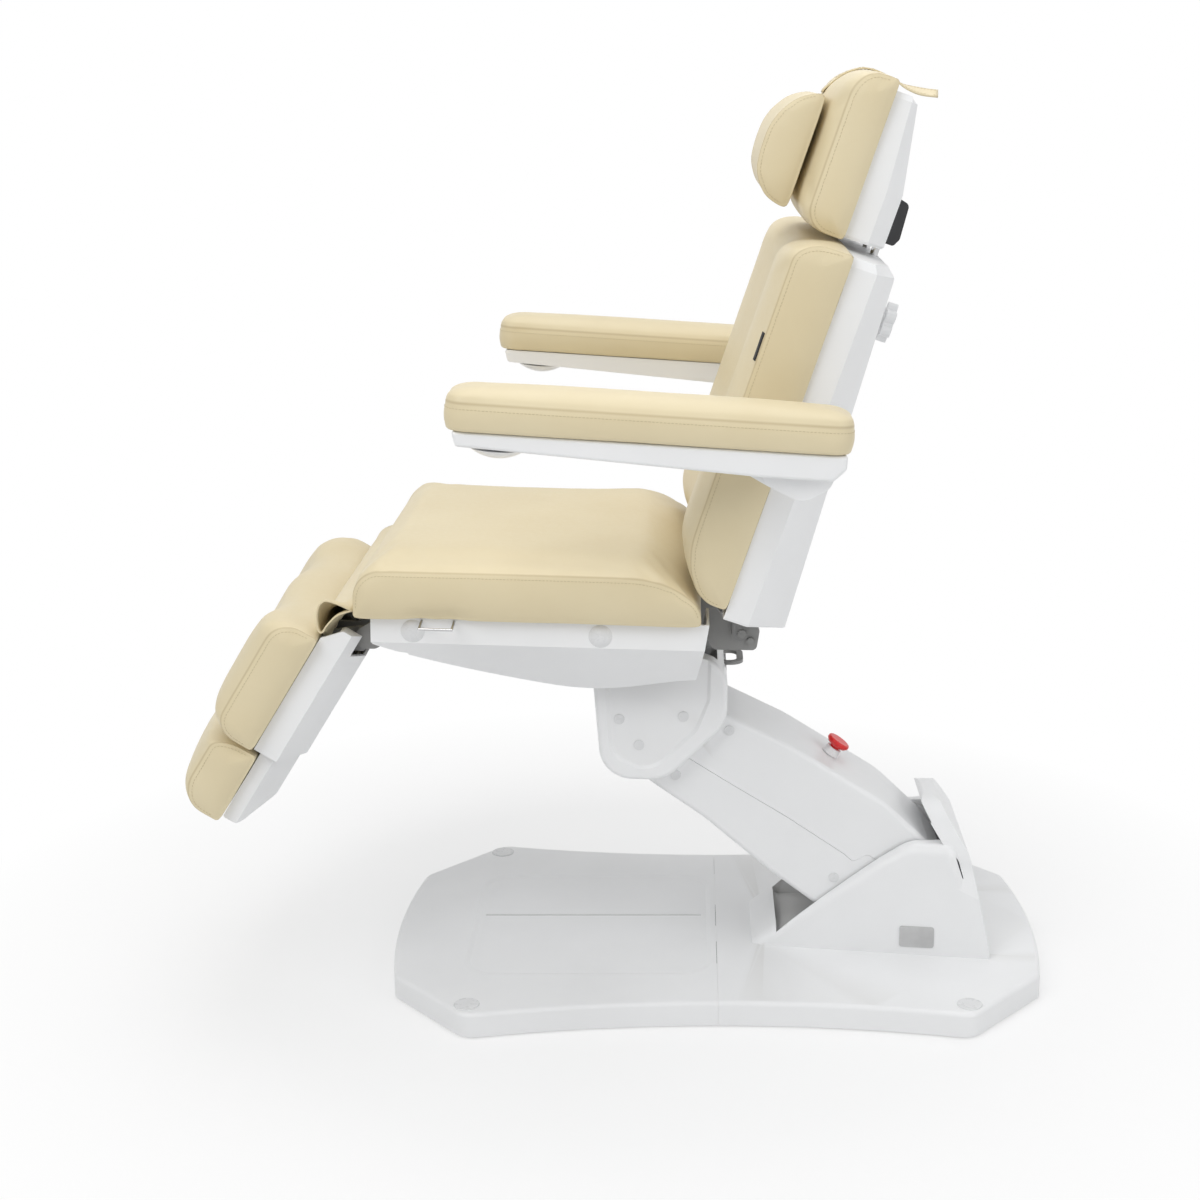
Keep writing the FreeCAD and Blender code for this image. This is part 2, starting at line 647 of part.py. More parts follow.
def blank_plate():
    """Plain plate stuck on the near side of the tower."""
    middle, outward = tower_face(*PLATE_AT)
    wide = V(1, 0, 0) - outward * outward.x
    wide.normalize()
    tall = wide.cross(outward) * -1
    if tall.z < 0:
        tall = tall * -1
    outline = []
    for a, b in ((-1, -1), (1, -1), (1, 1), (-1, 1)):
        outline.append((a * PLATE_LENGTH / 2, b * PLATE_HEIGHT / 2, 4.0))
    wire = rounded_wire(outline, lambda p: middle + wide * p.x + tall * p.y + outward * 0.05)
    return Part.Face(wire).extrude(outward * PLATE_THICKNESS)


def power_inlet():
    """Mains inlet let into the rear edge of the base."""
    face_x = BASE_LENGTH / 2 - BASE_END_BOW * 0.2
    outline = [(-24, -11, 3), (24, -11, 3), (24, 11, 3), (-24, 11, 3)]
    middle_z = (BASE_UNDERSIDE + BASE_DECK - WALL) / 2
    wire = rounded_wire(outline, lambda p: V(face_x - 40, 60 + p.x, middle_z + p.y))
    return Part.Face(wire).extrude(V(42, 0, 0)), middle_z


def inlet_with_socket():
    body, middle_z = power_inlet()
    mouth_x = body.BoundBox.XMax
    socket = box(mouth_x - 18, mouth_x + 1, 60 - 13, 60 + 13, middle_z - 8, middle_z + 8)
    pins = [box(mouth_x - 20, mouth_x - 4, 60 + y - 1, 60 + y + 1, middle_z - 2, middle_z + 2)
            for y in (-7, 0, 7)]
    return fuse(body.cut(socket), *pins)


def inlet_hole():
    body, middle_z = power_inlet()
    low, high = body.BoundBox, COVER_GAP / 2
    return box(low.XMin - 1, low.XMax + 20, low.YMin - high, low.YMax + high, low.ZMin - high,
               low.ZMax + high)


def lower_shafts():
    shaft = cross_bar(ARM, 0, 0, PIVOT_RADIUS, -ARM_PLATE_INNER - ARM_PLATE - 6,
                      ARM_PLATE_INNER + ARM_PLATE + 6)
    reach = POST_INNER + POST_PLATE
    link_pin = cross_bar(ARM, 0, LINK_OFFSET, LINK_PIN_RADIUS, -reach, reach)
    lift_pin = cross_bar(WORLD, *LIFT_FOOT, LINK_PIN_RADIUS, -reach, reach)
    return [shaft, link_pin, lift_pin]


# Lift arm

def arm_frame():
    """Two long side plates tied by cross tubes, bored for the two main pivots."""
    round_end = ARM_PLATE_HALF_DEPTH
    outline = [(-round_end, -round_end, round_end * 0.95),
               (ARM_LENGTH + round_end, -round_end, round_end * 0.95),
               (ARM_LENGTH + round_end, round_end, round_end * 0.95),
               (-round_end, round_end, round_end * 0.95)]
    plate = side_prism(ARM, outline, ARM_PLATE_INNER, ARM_PLATE_INNER + ARM_PLATE)
    pieces = both(plate)
    for u, w in ((110.0, 17.0), (390.0, 2.0)):
        pieces.append(cross_bar(ARM, u, w, 9.0, -ARM_PLATE_INNER - 1, ARM_PLATE_INNER + 1))
    reach = ARM_PLATE_INNER + ARM_PLATE
    pieces.append(cross_bar(ARM, *LIFT_EYE, ROD_PIN_RADIUS, -ARM_PLATE_INNER - 1, ARM_PLATE_INNER + 1))
    frame = fuse(*pieces)
    for u in (0, ARM_LENGTH):
        frame = frame.cut(cross_bar(ARM, u, 0, PIVOT_RADIUS + RUNNING, -reach - 1, reach + 1))
    return frame


def arm_top(inset):
    """Upper edge of the arm from the tower to the head, as outline points."""
    return [(ARM_COVER_END, 77 - inset), (300.0, 93 - inset, 260), (120.0, 100 - inset, 160),
            (24.0, 84 - inset, 20), (-20.0 + inset / 3, 69 - inset, 40),
            (-58.0 + inset, 42 - inset / 2, 30),
            (-71.0 + inset, 2.0, 20)]


def arm_bottom(inset):
    """Lower edge of the arm from the tower to the head, as outline points."""
    return [(-60.0 + inset, -34.0 + inset / 2, 20), (30.0, -66 + inset, 20), (112.0, -103 + inset, 20),
            (200.0, -98 + inset, 200), (340.0, -82 + inset, 200), (450.0, -80 + inset, 60),
            (ARM_LENGTH + 70 - inset, -30.0, 25),
            (ARM_LENGTH + 70 - inset, 10.0, 15), (ARM_COVER_END, 20.0)]


def split_line():
    """Seam between the upper and lower arm covers, with its small step near the tower."""
    return [(ARM_COVER_END + 200, -18.0, 0), (338.0, -10.5, 0), (235.0, -6.0, 0), (122.0, -6.0, 8),
            (104.0, -9.0, 8), (92.0, 14.0, 8), (72.0, 15.0, 12), (48.0, -2.0, 12), (-200.0, -2.0, 0)]


def arm_covers():
    """Upper and lower arm covers, cut from one hollow body along the seam."""
    outline = arm_top(0) + arm_bottom(0)
    body = side_prism(ARM, outline, -ARM_HALF_WIDTH, ARM_HALF_WIDTH)
    ridge = [e for e in body.Edges if is_side_edge(e)]
    body = body.makeFillet(ARM_TOP_RADIUS, ridge)
    inner_half = ARM_HALF_WIDTH - WALL
    hollow = side_prism(ARM, arm_top(WALL) + arm_bottom(WALL), -inner_half, inner_half)
    lift_slot = side_prism(ARM, [(-120.0, -150.0), (300.0, -150.0), (300.0, -40.0), (-120.0, -40.0)], -44.0,
                           44.0)
    rear_mouth = side_prism(ARM, [(-120.0, -150.0), (70.0, -150.0), (46.0, -20.0), (20.0, 17.0),
                                  (-120.0, 17.0)],
                            -inner_half, inner_half)
    head_mouth = side_prism(ARM, [(ARM_COVER_END - 1, 0.0), (ARM_LENGTH + 90, -60.0),
                                  (ARM_LENGTH + 90, 120.0),
                                  (ARM_COVER_END - 1, 120.0)], -inner_half, inner_half)
    front_mouth = side_prism(ARM, [(ARM_LENGTH - 20, -40.0), (ARM_LENGTH + 90, -60.0),
                                   (ARM_LENGTH + 90, 90.0),
                                   (ARM_LENGTH - 20, 90.0)], -inner_half, inner_half)
    body = body.cut(hollow).cut(lift_slot).cut(rear_mouth).cut(head_mouth).cut(front_mouth)
    seam = split_line()
    upper_side = seam + [(-200.0, 300.0), (ARM_COVER_END + 200, 300.0)]
    lower_side = [(u, w - COVER_GAP, r) for u, w, r in seam]
    lower_side += [(-200.0, -300.0), (ARM_COVER_END + 200, -300.0)]
    wide = ARM_HALF_WIDTH + 1
    upper = body.common(side_prism(ARM, upper_side, -wide, wide))
    lower = body.common(side_prism(ARM, lower_side, -wide, wide))
    return upper, lower


def is_side_edge(edge):
    """True for the long edges where the arm's sides meet its top and underside."""
    middle = edge.valueAt((edge.FirstParameter + edge.LastParameter) / 2)
    along = (middle - ARM.zero).dot(ARM.along)
    off = (middle - ARM.zero).dot(ARM.off)
    on_side = abs(abs(middle.y) - ARM_HALF_WIDTH) < 0.01
    at_mouth = along > ARM_COVER_END - 1 and off > 5
    return on_side and not at_mouth


def arm_caps():
    """Screw caps along both sides of the arm."""
    caps = []
    for u, w in ((389.0, 60.0), (416.0, -47.0), (113.0, -48.0), (40.0, 68.0)):
        caps.append(screw_cap(ARM.at(u, w, -ARM_HALF_WIDTH - 0.05), V(0, -1, 0)))
    return caps + [mirrored(c) for c in caps]


def arm_surface_off(u):
    """Height of the arm's top over the pivot line, where the stop button stands."""
    probe = Part.makeLine(ARM.at(u, 40), ARM.at(u, 140))
    body = side_prism(ARM, arm_top(0) + arm_bottom(0), -ARM_HALF_WIDTH, ARM_HALF_WIDTH)
    inside = probe.common(body)
    return 40 + inside.Length


def stop_button():
    """Collar fixed in the arm's top, and the mushroom button that slides in it."""
    top = arm_surface_off(ESTOP_ALONG)
    foot = ARM.at(ESTOP_ALONG, top + 0.8)
    up = ARM.off
    collar_height = 12.0
    collar = Part.makeCone(ESTOP_STEM_RADIUS + 6, ESTOP_STEM_RADIUS + 4, collar_height, foot, up)
    collar = collar.cut(bar(foot - up, foot + up * (collar_height + 1), ESTOP_STEM_RADIUS + RUNNING))
    stem = bar(foot + up * (ESTOP_TRAVEL + 1), foot + up * (collar_height + ESTOP_TRAVEL + 2),
               ESTOP_STEM_RADIUS)
    head_foot = foot + up * (collar_height + ESTOP_TRAVEL + 1)
    head = Part.makeCone(ESTOP_HEAD_RADIUS * 0.8, ESTOP_HEAD_RADIUS, 4.0, head_foot, up)
    brim = bar(head_foot + up * 4, head_foot + up * 10, ESTOP_HEAD_RADIUS)
    rim = [e for e in brim.Edges if e.Curve.TypeId == "Part::GeomCircle"]
    far_rim = max(rim, key=lambda e: (e.Curve.Center - foot).dot(up))
    return collar, fuse(stem, head, brim.makeFillet(3.0, [far_rim]))


def levelling_link():
    """Rod beside the arm that keeps the head level."""
    start, end = ARM.at(0, LINK_OFFSET), ARM.at(ARM_LENGTH, LINK_OFFSET)
    eye_half = POST_INNER - SIDE_PLAY
    rod = bar(start, end, LINK_RADIUS)
    eyes = [cross_bar(ARM, u, LINK_OFFSET, LINK_EYE_RADIUS, -eye_half, eye_half) for u in (0, ARM_LENGTH)]
    link = fuse(rod, *eyes)
    for u in (0, ARM_LENGTH):
        link = link.cut(cross_bar(ARM, u, LINK_OFFSET, LINK_PIN_RADIUS + RUNNING, -eye_half - 1,
                                  eye_half + 1))
    return link


def rod_eye(at, radius, half_width, play_along, play_across, direction, across):
    """Slotted eye on the end of an actuator rod."""
    eye_radius = radius + ROD_EYE_WALL
    corners = [(a * (play_along + eye_radius), b * (play_across + eye_radius), eye_radius * 0.95)
               for a, b in ((-1, -1), (1, -1), (1, 1), (-1, 1))]
    slots = [(a * (play_along + radius), b * (play_across + radius), radius * 0.95)
             for a, b in ((-1, -1), (1, -1), (1, 1), (-1, 1))]
    solids = []
    for outline, extra in ((corners, 0.0), (slots, 1.0)):
        wire = rounded_wire(outline, lambda p: at + direction * p.x + across * p.y - V(0,
                                                                                       half_width + extra,
                                                                                       0))
        solids.append(Part.Face(wire).extrude(V(0, 2 * (half_width + extra), 0)))
    return solids[0], solids[1]


def lift_actuator():
    """Motor with its tube, pinned to the base, and the rod that pushes the arm."""
    start = WORLD.at(*LIFT_FOOT)
    end = ARM.at(*LIFT_EYE)
    reach = start.distanceToPoint(end)
    direction = (end - start).normalize()
    across = V(-direction.z, 0, direction.x)
    half = POST_INNER - SIDE_PLAY
    eye = cross_bar(WORLD, *LIFT_FOOT, LINK_EYE_RADIUS, -half, half)
    tube_end = start + direction * (reach * 0.7)
    gearbox = bar(start + direction * 22, start + direction * 70, ACTUATOR_RADIUS + 1)
    tube = bar(start + direction * 10, tube_end, ACTUATOR_RADIUS - 2)
    body = fuse(eye, gearbox, tube)
    body = body.cut(cross_bar(WORLD, *LIFT_FOOT, LINK_PIN_RADIUS + RUNNING, -half - 1, half + 1))
    body = body.cut(bar(start + direction * 60, tube_end + direction, ROD_RADIUS + RUNNING))
    outer, slot = rod_eye(end, ROD_PIN_RADIUS + RUNNING, ROD_RADIUS + 1, 1.5, LIFT_EYE_PLAY, direction,
                          across)
    rod = bar(start + direction * (reach * 0.45), end - direction * (ROD_PIN_RADIUS + 4), ROD_RADIUS)
    return body, fuse(rod, outer).cut(slot)


# Head

def head_outline(inset):
    """Side outline of the head covers: a rounded D that is lower at the front."""
    return [(-191.0 + inset, HEAD_COVER_FRONT - inset, 10), (-178.0 + inset, 342.0 + inset, 52),
            (-80.0, 339.0 + inset, 60), (15.0 - inset, 432.0, 60),
            (15.0 - inset, HEAD_COVER_REAR - inset, 45 - inset)]


def head_pocket_outline(grow):
    """Outline of the shallow dish in a head cover, larger by a given amount."""
    above = HEAD_COVER_REAR + 30
    return [(-170.0 - grow, above), (-160.0 - grow, 384.0 - grow, 36), (-118.0, 362.0 - grow, 30),
            (-92.0 + grow / 3, 368.0 - grow, 40), (-34.0 + grow, 424.0 - grow / 2, 40),
            (-16.0 + grow, 470.0, 30), (-14.0 + grow, above)]


def head_pocket():
    wires = []
    for y, grow in ((-HEAD_COVER_OUTER - HEAD_POCKET_DEPTH, 2 * HEAD_POCKET_SLOPE),
                    (-HEAD_COVER_OUTER + HEAD_POCKET_DEPTH, 0)):
        wires.append(rounded_wire(head_pocket_outline(grow), lambda p: WORLD.at(p.x, p.y, y)))
    return loft(wires, True)


def head_cover():
    """Near-side head cover: a dished D-shaped face with walls that bridge the front and the rear."""
    shell = side_prism(WORLD, head_outline(0), -HEAD_COVER_OUTER, -HEAD_COVER_INNER)
    shell = shell.makeFillet(HEAD_EDGE_RADIUS, [e for e in shell.Edges if on_outer_face(e)])
    hollow = side_prism(WORLD, head_outline(WALL), -HEAD_COVER_OUTER + WALL + HEAD_POCKET_DEPTH, 0)
    body = side_prism(WORLD, head_outline(0), -HEAD_COVER_INNER - 1, -COVER_GAP / 2)
    keep_front = box(-200.0, -160.0, -HEAD_COVER_OUTER, 0, 372.0, HEAD_TOP - HEAD_PLATE - SIDE_PLAY)
    keep_rear = box(0.0, 40.0, -HEAD_COVER_OUTER, 0, 488.0, HEAD_COVER_REAR)
    bridges = body.common(fuse(keep_front, keep_rear))
    lever_low = swivel_lever_low()
    lever_way = box(-60.0, 60.0, -LEVER_HALF_WIDTH - 20, 0, lever_low - LEVER_THICKNESS,
                    lever_low + 2 * LEVER_THICKNESS)
    cover = fuse(shell, *bridges.Solids).cut(hollow).cut(lever_way)
    return cover.cut(head_pocket())


def on_outer_face(edge):
    return all(abs(v.Y + HEAD_COVER_OUTER) < 0.01 for v in edge.Vertexes)


def head_caps():
    pocket = -HEAD_COVER_OUTER + HEAD_POCKET_DEPTH - 0.05
    caps = [screw_cap(V(-150.0, pocket, 439.0), V(0, -1, 0)),
            screw_cap(V(-120.0, pocket, 397.0), V(0, -1, 0)),
            screw_cap(V(-52.0, pocket, 443.0), V(0, -1, 0))]
    return caps + [mirrored(c) for c in caps]


def head_knuckle():
    """Steel head: two pivot plates under a bearing disc."""
    x, z = UPPER_PIVOT
    low = HEAD_TOP - HEAD_PLATE
    plate = side_prism(WORLD, [(x - 24, z - 24, 20), (x + 22, z - 24, 20), (x + 52, z + 36, 15),
                               (x + 52, low + 1), (x - 62, low + 1), (x - 62, z + 40, 15)],
                       POST_INNER, POST_INNER + POST_PLATE)
    disc = Part.makeCylinder(HEAD_DISC_RADIUS, HEAD_PLATE, V(HEAD_CENTRE_X, 0, low))
    pin_low = swivel_lever_low() - 4
    lever_pin = Part.makeCylinder(LEVER_PIN_RADIUS, low + 1 - pin_low,
                                  V(swivel_lever_pivot_x(), 0, pin_low))
    knuckle = fuse(disc, lever_pin, *both(plate))
    reach = HEAD_COVER_INNER
    knuckle = knuckle.cut(cross_bar(WORLD, x, z, PIVOT_RADIUS + RUNNING, -reach, reach))
    knuckle = knuckle.cut(cross_bar(ARM, ARM_LENGTH, LINK_OFFSET, LINK_PIN_RADIUS + RUNNING, -reach, reach))
    bore = Part.makeCylinder(TURN_SPIGOT_RADIUS + RUNNING, HEAD_PLATE + 2, V(HEAD_CENTRE_X, 0, low - 1))
    return knuckle.cut(bore)


def upper_shafts():
    reach = ARM_PLATE_INNER + ARM_PLATE + 6
    shaft = cross_bar(ARM, ARM_LENGTH, 0, PIVOT_RADIUS, -reach, reach)
    pin_reach = POST_INNER + POST_PLATE
    pin = cross_bar(ARM, ARM_LENGTH, LINK_OFFSET, LINK_PIN_RADIUS, -pin_reach, pin_reach)
    return [shaft, pin]


def turntable():
    """Swivel plate with its spigot, the tilt ears and the upright tilt crank."""
    low = HEAD_TOP + TURN_GAP
    top = low + TURN_PLATE
    disc = Part.makeCylinder(HEAD_DISC_RADIUS, TURN_PLATE, V(HEAD_CENTRE_X, 0, low))
    x, z = TILT_PIVOT
    ear = side_prism(WORLD, [(x - 40, top - 1), (x + 24, top - 1), (x + 16, z + 14, 13),
                             (x - 16, z + 14, 13)],
                     TILT_EAR_INNER, TILT_EAR_INNER + TILT_EAR)
    crank = side_prism(WORLD, [(x - 34, top - 1), (x + 24, top - 1), (x + 5, z + TILT_CRANK + 10, 9),
                               (x - 15, z + TILT_CRANK + 10, 9)], -TILT_EAR / 2, TILT_EAR / 2)
    plate = fuse(disc, crank, *both(ear))
    plate = plate.cut(cross_bar(WORLD, x, z, TILT_PIN_RADIUS + RUNNING, -HEAD_DISC_RADIUS,
                                HEAD_DISC_RADIUS))
    crank_pin = cross_bar(WORLD, x - 5, z + TILT_CRANK, ROD_PIN_RADIUS, -16, 16)
    spigot = Part.makeCylinder(TURN_SPIGOT_RADIUS, HEAD_PLATE + TURN_GAP,
                               V(HEAD_CENTRE_X, 0, HEAD_TOP - HEAD_PLATE))
    return fuse(plate, crank_pin, spigot)


def tilt_pin():
    reach = TILT_EAR_INNER + 2 * TILT_EAR + 2
    return cross_bar(WORLD, *TILT_PIVOT, TILT_PIN_RADIUS, -reach, reach)


def swivel_lever_pivot_x():
    return HEAD_CENTRE_X + HEAD_DISC_RADIUS - 3 * LEVER_PIN_RADIUS


def swivel_lever_low():
    return HEAD_TOP - HEAD_PLATE - LEVER_THICKNESS - LEVER_DROP


def swivel_lever():
    """Flat lever with a finger loop that frees the swivel, bored for its upright pin."""
    low = swivel_lever_low()
    top = low + LEVER_THICKNESS
    pivot = swivel_lever_pivot_x()
    tail = pivot - 2 * LEVER_PIN_RADIUS
    tip = HEAD_CENTRE_X + LEVER_REACH
    neck = tip - LEVER_LOOP_LENGTH
    edge = [(tail, LEVER_TONGUE_HALF, 8), (neck - 6, LEVER_TONGUE_HALF), (neck, LEVER_HALF_WIDTH, 10),
            (tip, LEVER_HALF_WIDTH, 20)]
    lever = plan_prism(edge + [(p[0], -p[1]) + tuple(p[2:]) for p in reversed(edge)], low, top)
    hole_half = LEVER_HALF_WIDTH - 10
    hole = plan_prism([(tip - 34, -hole_half, 11), (tip - 10, -hole_half, 11),
                       (tip - 10, hole_half, 11), (tip - 34, hole_half, 11)], low - 1, top + 1)
    bore = Part.makeCylinder(LEVER_PIN_RADIUS + RUNNING, LEVER_THICKNESS + 2, V(pivot, 0, low - 1))
    return lever.cut(hole).cut(bore)


# Seat

def seat_top(half):
    return [(half - 6, SEAT_SEAM), (0, SEAT_CROWN), (-half + 6, SEAT_SEAM)]


def seat_cushion():
    return cushion(SEAT, SEAT_REAR, SEAT_LENGTH, SEAT_HALF, 0, seat_top, SEAT_REAR_ROUND, SEAT_FRONT_ROUND,
                   nose=SEAT_NOSE)


def seat_shell_stations():
    """Keel of the seat shell: deepest behind the middle, rising to the front."""
    rise = SHELL_DEPTH - SHELL_SKIRT
    first = SHELL_REAR / SHELL_LENGTH
    shares = ((first, 0.80), (0.20, 0.93), (0.35, 1.0), (0.52, 0.91), (0.70, 0.72), (0.86, 0.48),
              (1.0, 0.10))
    stations = []
    for along, depth in shares:
        keel_half = SHELL_KEEL_HALF + (SHELL_HALF - SHELL_KEEL_HALF) * (1 - depth) ** 2
        stations.append((along * SHELL_LENGTH, SHELL_HALF, -SHELL_SKIRT, keel_half - 3,
                         -SHELL_SKIRT - rise * depth))
    return stations


def seat_shell():
    """White pan under the seat, open on top and cut away round the head."""
    stations = seat_shell_stations()
    outer = trough(SEAT, stations, -SOFT_GAP, False).cut(shell_rear_wedge(0))
    inner = trough(SEAT, inset_stations(stations, WALL), 1.0, False).cut(shell_rear_wedge(WALL))
    shell = outer.cut(inner)
    opening = Part.makeCylinder(SHELL_OPENING_RADIUS, BASE_LENGTH, V(HEAD_CENTRE_X, 0, 0))
    shell = shell.cut(opening)
    for way in shell_ways():
        shell = shell.cut(way)
    return shell


def shell_rear_wedge(inset):
    """Wedge that slopes the rear end of the seat shell in towards its keel."""
    rear = SHELL_REAR + inset
    wide = SHELL_HALF + 1
    return side_prism(SEAT, [(rear - 60, 2.0), (rear, 2.0), (rear + SHELL_REAR_RUN, -SHELL_DEPTH),
                             (rear - 60, -SHELL_DEPTH)], -wide, wide)


def shell_ways():
    """Room through the seat shell for the legrest lugs, the legrest rod and the back's rod."""
    tip = leg_crank_tip()
    ways = [box(tip.x - 20, tip.x + 60, -ACTUATOR_Y - 24, -ACTUATOR_Y + 16, tip.z - 34, tip.z + 40)]
    x, z = LEG_PIVOT
    lug_way = box(x - 20, x + 60, LEG_LUG_INNER - 3, LEG_LUG_INNER + LEG_LUG + 3, z - 40, z + 60)
    back_tip = back_crank_tip()
    back_way = box(back_tip.x - 80, back_tip.x + 40, BRACKET_INNER - 12, ACTUATOR_Y + 20, back_tip.z - 22,
                   back_tip.z + 40)
    return ways + both(lug_way) + both(back_way)


def seat_frame():
    """Seat rails, cross tubes, tilt lugs and legrest hinge lugs."""
    half_rail = RAIL_SIZE / 2
    length = SHELL_LENGTH - 3 * WALL
    rail = side_prism(SEAT, [(4 * WALL, -SOFT_GAP - RAIL_SIZE), (length, -SOFT_GAP - RAIL_SIZE),
                             (length, -SOFT_GAP), (4 * WALL, -SOFT_GAP)], RAIL_HALF - half_rail,
                      RAIL_HALF + half_rail)
    pieces = both(rail)
    low = -SOFT_GAP - STRIP_THICKNESS
    for u in (414.0, 250.0):
        pieces.append(side_prism(SEAT, [(u - half_rail, low), (u + half_rail, low),
                                        (u + half_rail, -SOFT_GAP),
                                        (u - half_rail, -SOFT_GAP)], -RAIL_HALF, RAIL_HALF))
    x, z = TILT_PIVOT
    lug_inner = TILT_EAR_INNER + TILT_EAR + SIDE_PLAY
    lug_outer = lug_inner + TILT_EAR
    strip_top = SEAT_ZERO[1] + 1
    lug = side_prism(WORLD, [(x - 52, z + 26), (x - 52, strip_top), (x - 28, strip_top),
                             (x + 14, z + 4, 13),
                             (x, z - 14, 13), (x - 14, z - 14, 13)], lug_inner, lug_outer)
    stub = box(x - 52, x - 28, lug_inner, RAIL_HALF - half_rail + 1, strip_top - 1.5 * STRIP_THICKNESS,
               strip_top)
    pieces += both(lug) + both(stub)
    frame = fuse(*pieces)
    return frame.cut(cross_bar(WORLD, x, z, TILT_PIN_RADIUS + RUNNING, -lug_outer - 1, lug_outer + 1))


def leg_hinge_lugs():
    """Two lugs under the front of the seat, and the pins that carry the legrest."""
    x, z = LEG_PIVOT
    inner = LEG_LUG_INNER
    lug = side_prism(WORLD, [(x - 14, z - 14, 13), (x + 14, z - 14, 13), (x + 56, z + 14), (x + 56, z + 36),
                             (x + 26, z + 36, 8), (x - 14, z + 14, 13)], inner, inner + LEG_LUG)
    lug = lug.cut(cross_bar(WORLD, x, z, LEG_PIN_RADIUS + RUNNING, inner - 1, inner + LEG_LUG + 1))
    pin = cross_bar(WORLD, x, z, LEG_PIN_RADIUS, inner - 2 * LEG_LUG, inner + LEG_LUG)
    return both(lug) + both(pin)


def screw_domes():
    """Smooth domes on the seat shell's sides."""
    domes = []
    for u in DOME_PLACES:
        at = SEAT.at(u, -21.0, -SHELL_HALF - 0.05)
        curve = (DOME_RADIUS ** 2 + DOME_HEIGHT ** 2) / (2 * DOME_HEIGHT)
        ball = Part.makeSphere(curve, at + V(0, curve - DOME_HEIGHT, 0))
        domes.append(bar(at, at - V(0, DOME_HEIGHT + 1, 0), DOME_RADIUS).common(ball))
    return domes + [mirrored(d) for d in domes]


def side_loops():
    """Chromed wire loops below the cushion's edge, one each side, for a strap."""
    y_in, y_out = -SHELL_HALF - 0.7, -SHELL_HALF - LOOP_REACH
    u_mid, w = LOOP_MIDDLE, -5.0
    ends = []
    half = LOOP_LENGTH / 2
    path = [SEAT.at(u_mid - half, w, y_in), SEAT.at(u_mid - half, w - 4, y_out),
            SEAT.at(u_mid + half, w - 4, y_out), SEAT.at(u_mid + half, w, y_in)]
    for start, end in zip(path, path[1:]):
        ends.append(bar(start, end, LOOP_WIRE_RADIUS))
    for corner in path[1:3]:
        ends.append(Part.makeSphere(LOOP_WIRE_RADIUS, corner))
    loop = fuse(*ends)
    return both(loop)


def back_crank_tip():
    """Where the back's crank pin stands: half the recline before upright."""
    turn = math.radians(90 + BACK_ANGLE / 2)
    return WORLD.at(BACK_PIVOT[0] + BACK_CRANK * math.cos(turn),
                    BACK_PIVOT[1] + BACK_CRANK * math.sin(turn))


def leg_crank_tip():
    """Where the legrest's crank pin stands at rest."""
    turn = math.radians(90 + LEG_CRANK_LEAN)
    return WORLD.at(LEG_PIVOT[0] + LEG_CRANK * math.cos(turn), LEG_PIVOT[1] + LEG_CRANK * math.sin(turn))


def level_actuator(tip, y, tail_x, mouth_x, low_play, high_play):
    """Level motor tube in the seat with a rod whose slotted eye takes a crank pin."""
    forward = V(1, 0, 0) if tip.x > tail_x else V(-1, 0, 0)
    axis_z = tip.z
    tail = V(tail_x, y, axis_z)
    mouth = V(mouth_x, y, axis_z)
    gearbox_length = 46.0
    tube = bar(tail + forward * (gearbox_length - 2), mouth, ACTUATOR_RADIUS - 4)
    gearbox = bar(tail, tail + forward * gearbox_length, ACTUATOR_RADIUS - 1)
    body = fuse(gearbox, tube)
    body = body.cut(bar(tail + forward * gearbox_length, mouth + forward, ROD_RADIUS - 2 + RUNNING))
    eye_wall = ROD_PIN_RADIUS + ROD_EYE_WALL
    low, high = -low_play - eye_wall, high_play + eye_wall
    pin = ROD_PIN_RADIUS + 0.4
    flat = Side(tip.x, tip.z, 0)
    eye = side_prism(flat, [(-eye_wall, low, 5), (eye_wall, low, 5), (eye_wall, high, 5),
                            (-eye_wall, high, 5)],
                     y - 8, y + 8)
    slot = side_prism(flat, [(-pin - 1, -low_play - pin, 4), (pin + 1, -low_play - pin, 4),
                             (pin + 1, high_play + pin, 4), (-pin - 1, high_play + pin, 4)], y - 9, y + 9)
    start = tail + forward * (gearbox_length + 50)
    rod = bar(start, V(tip.x, y, axis_z) - forward * (eye_wall - 2), ROD_RADIUS - 2)
    return body, fuse(rod, eye).cut(slot)


def tilt_actuator():
    tip = V(TILT_PIVOT[0] - 5, 0, TILT_PIVOT[1] + TILT_CRANK)
    body, rod = level_actuator(tip, 0.0, -440.0, -150.0, 3.0, 1.0)
    fork_gap = box(tip.x - 30, tip.x + 40, -TILT_EAR / 2 - SIDE_PLAY, TILT_EAR / 2 + SIDE_PLAY,
                   tip.z - 40, tip.z + 40)
    return body, rod.cut(fork_gap)


# Back hinge and back

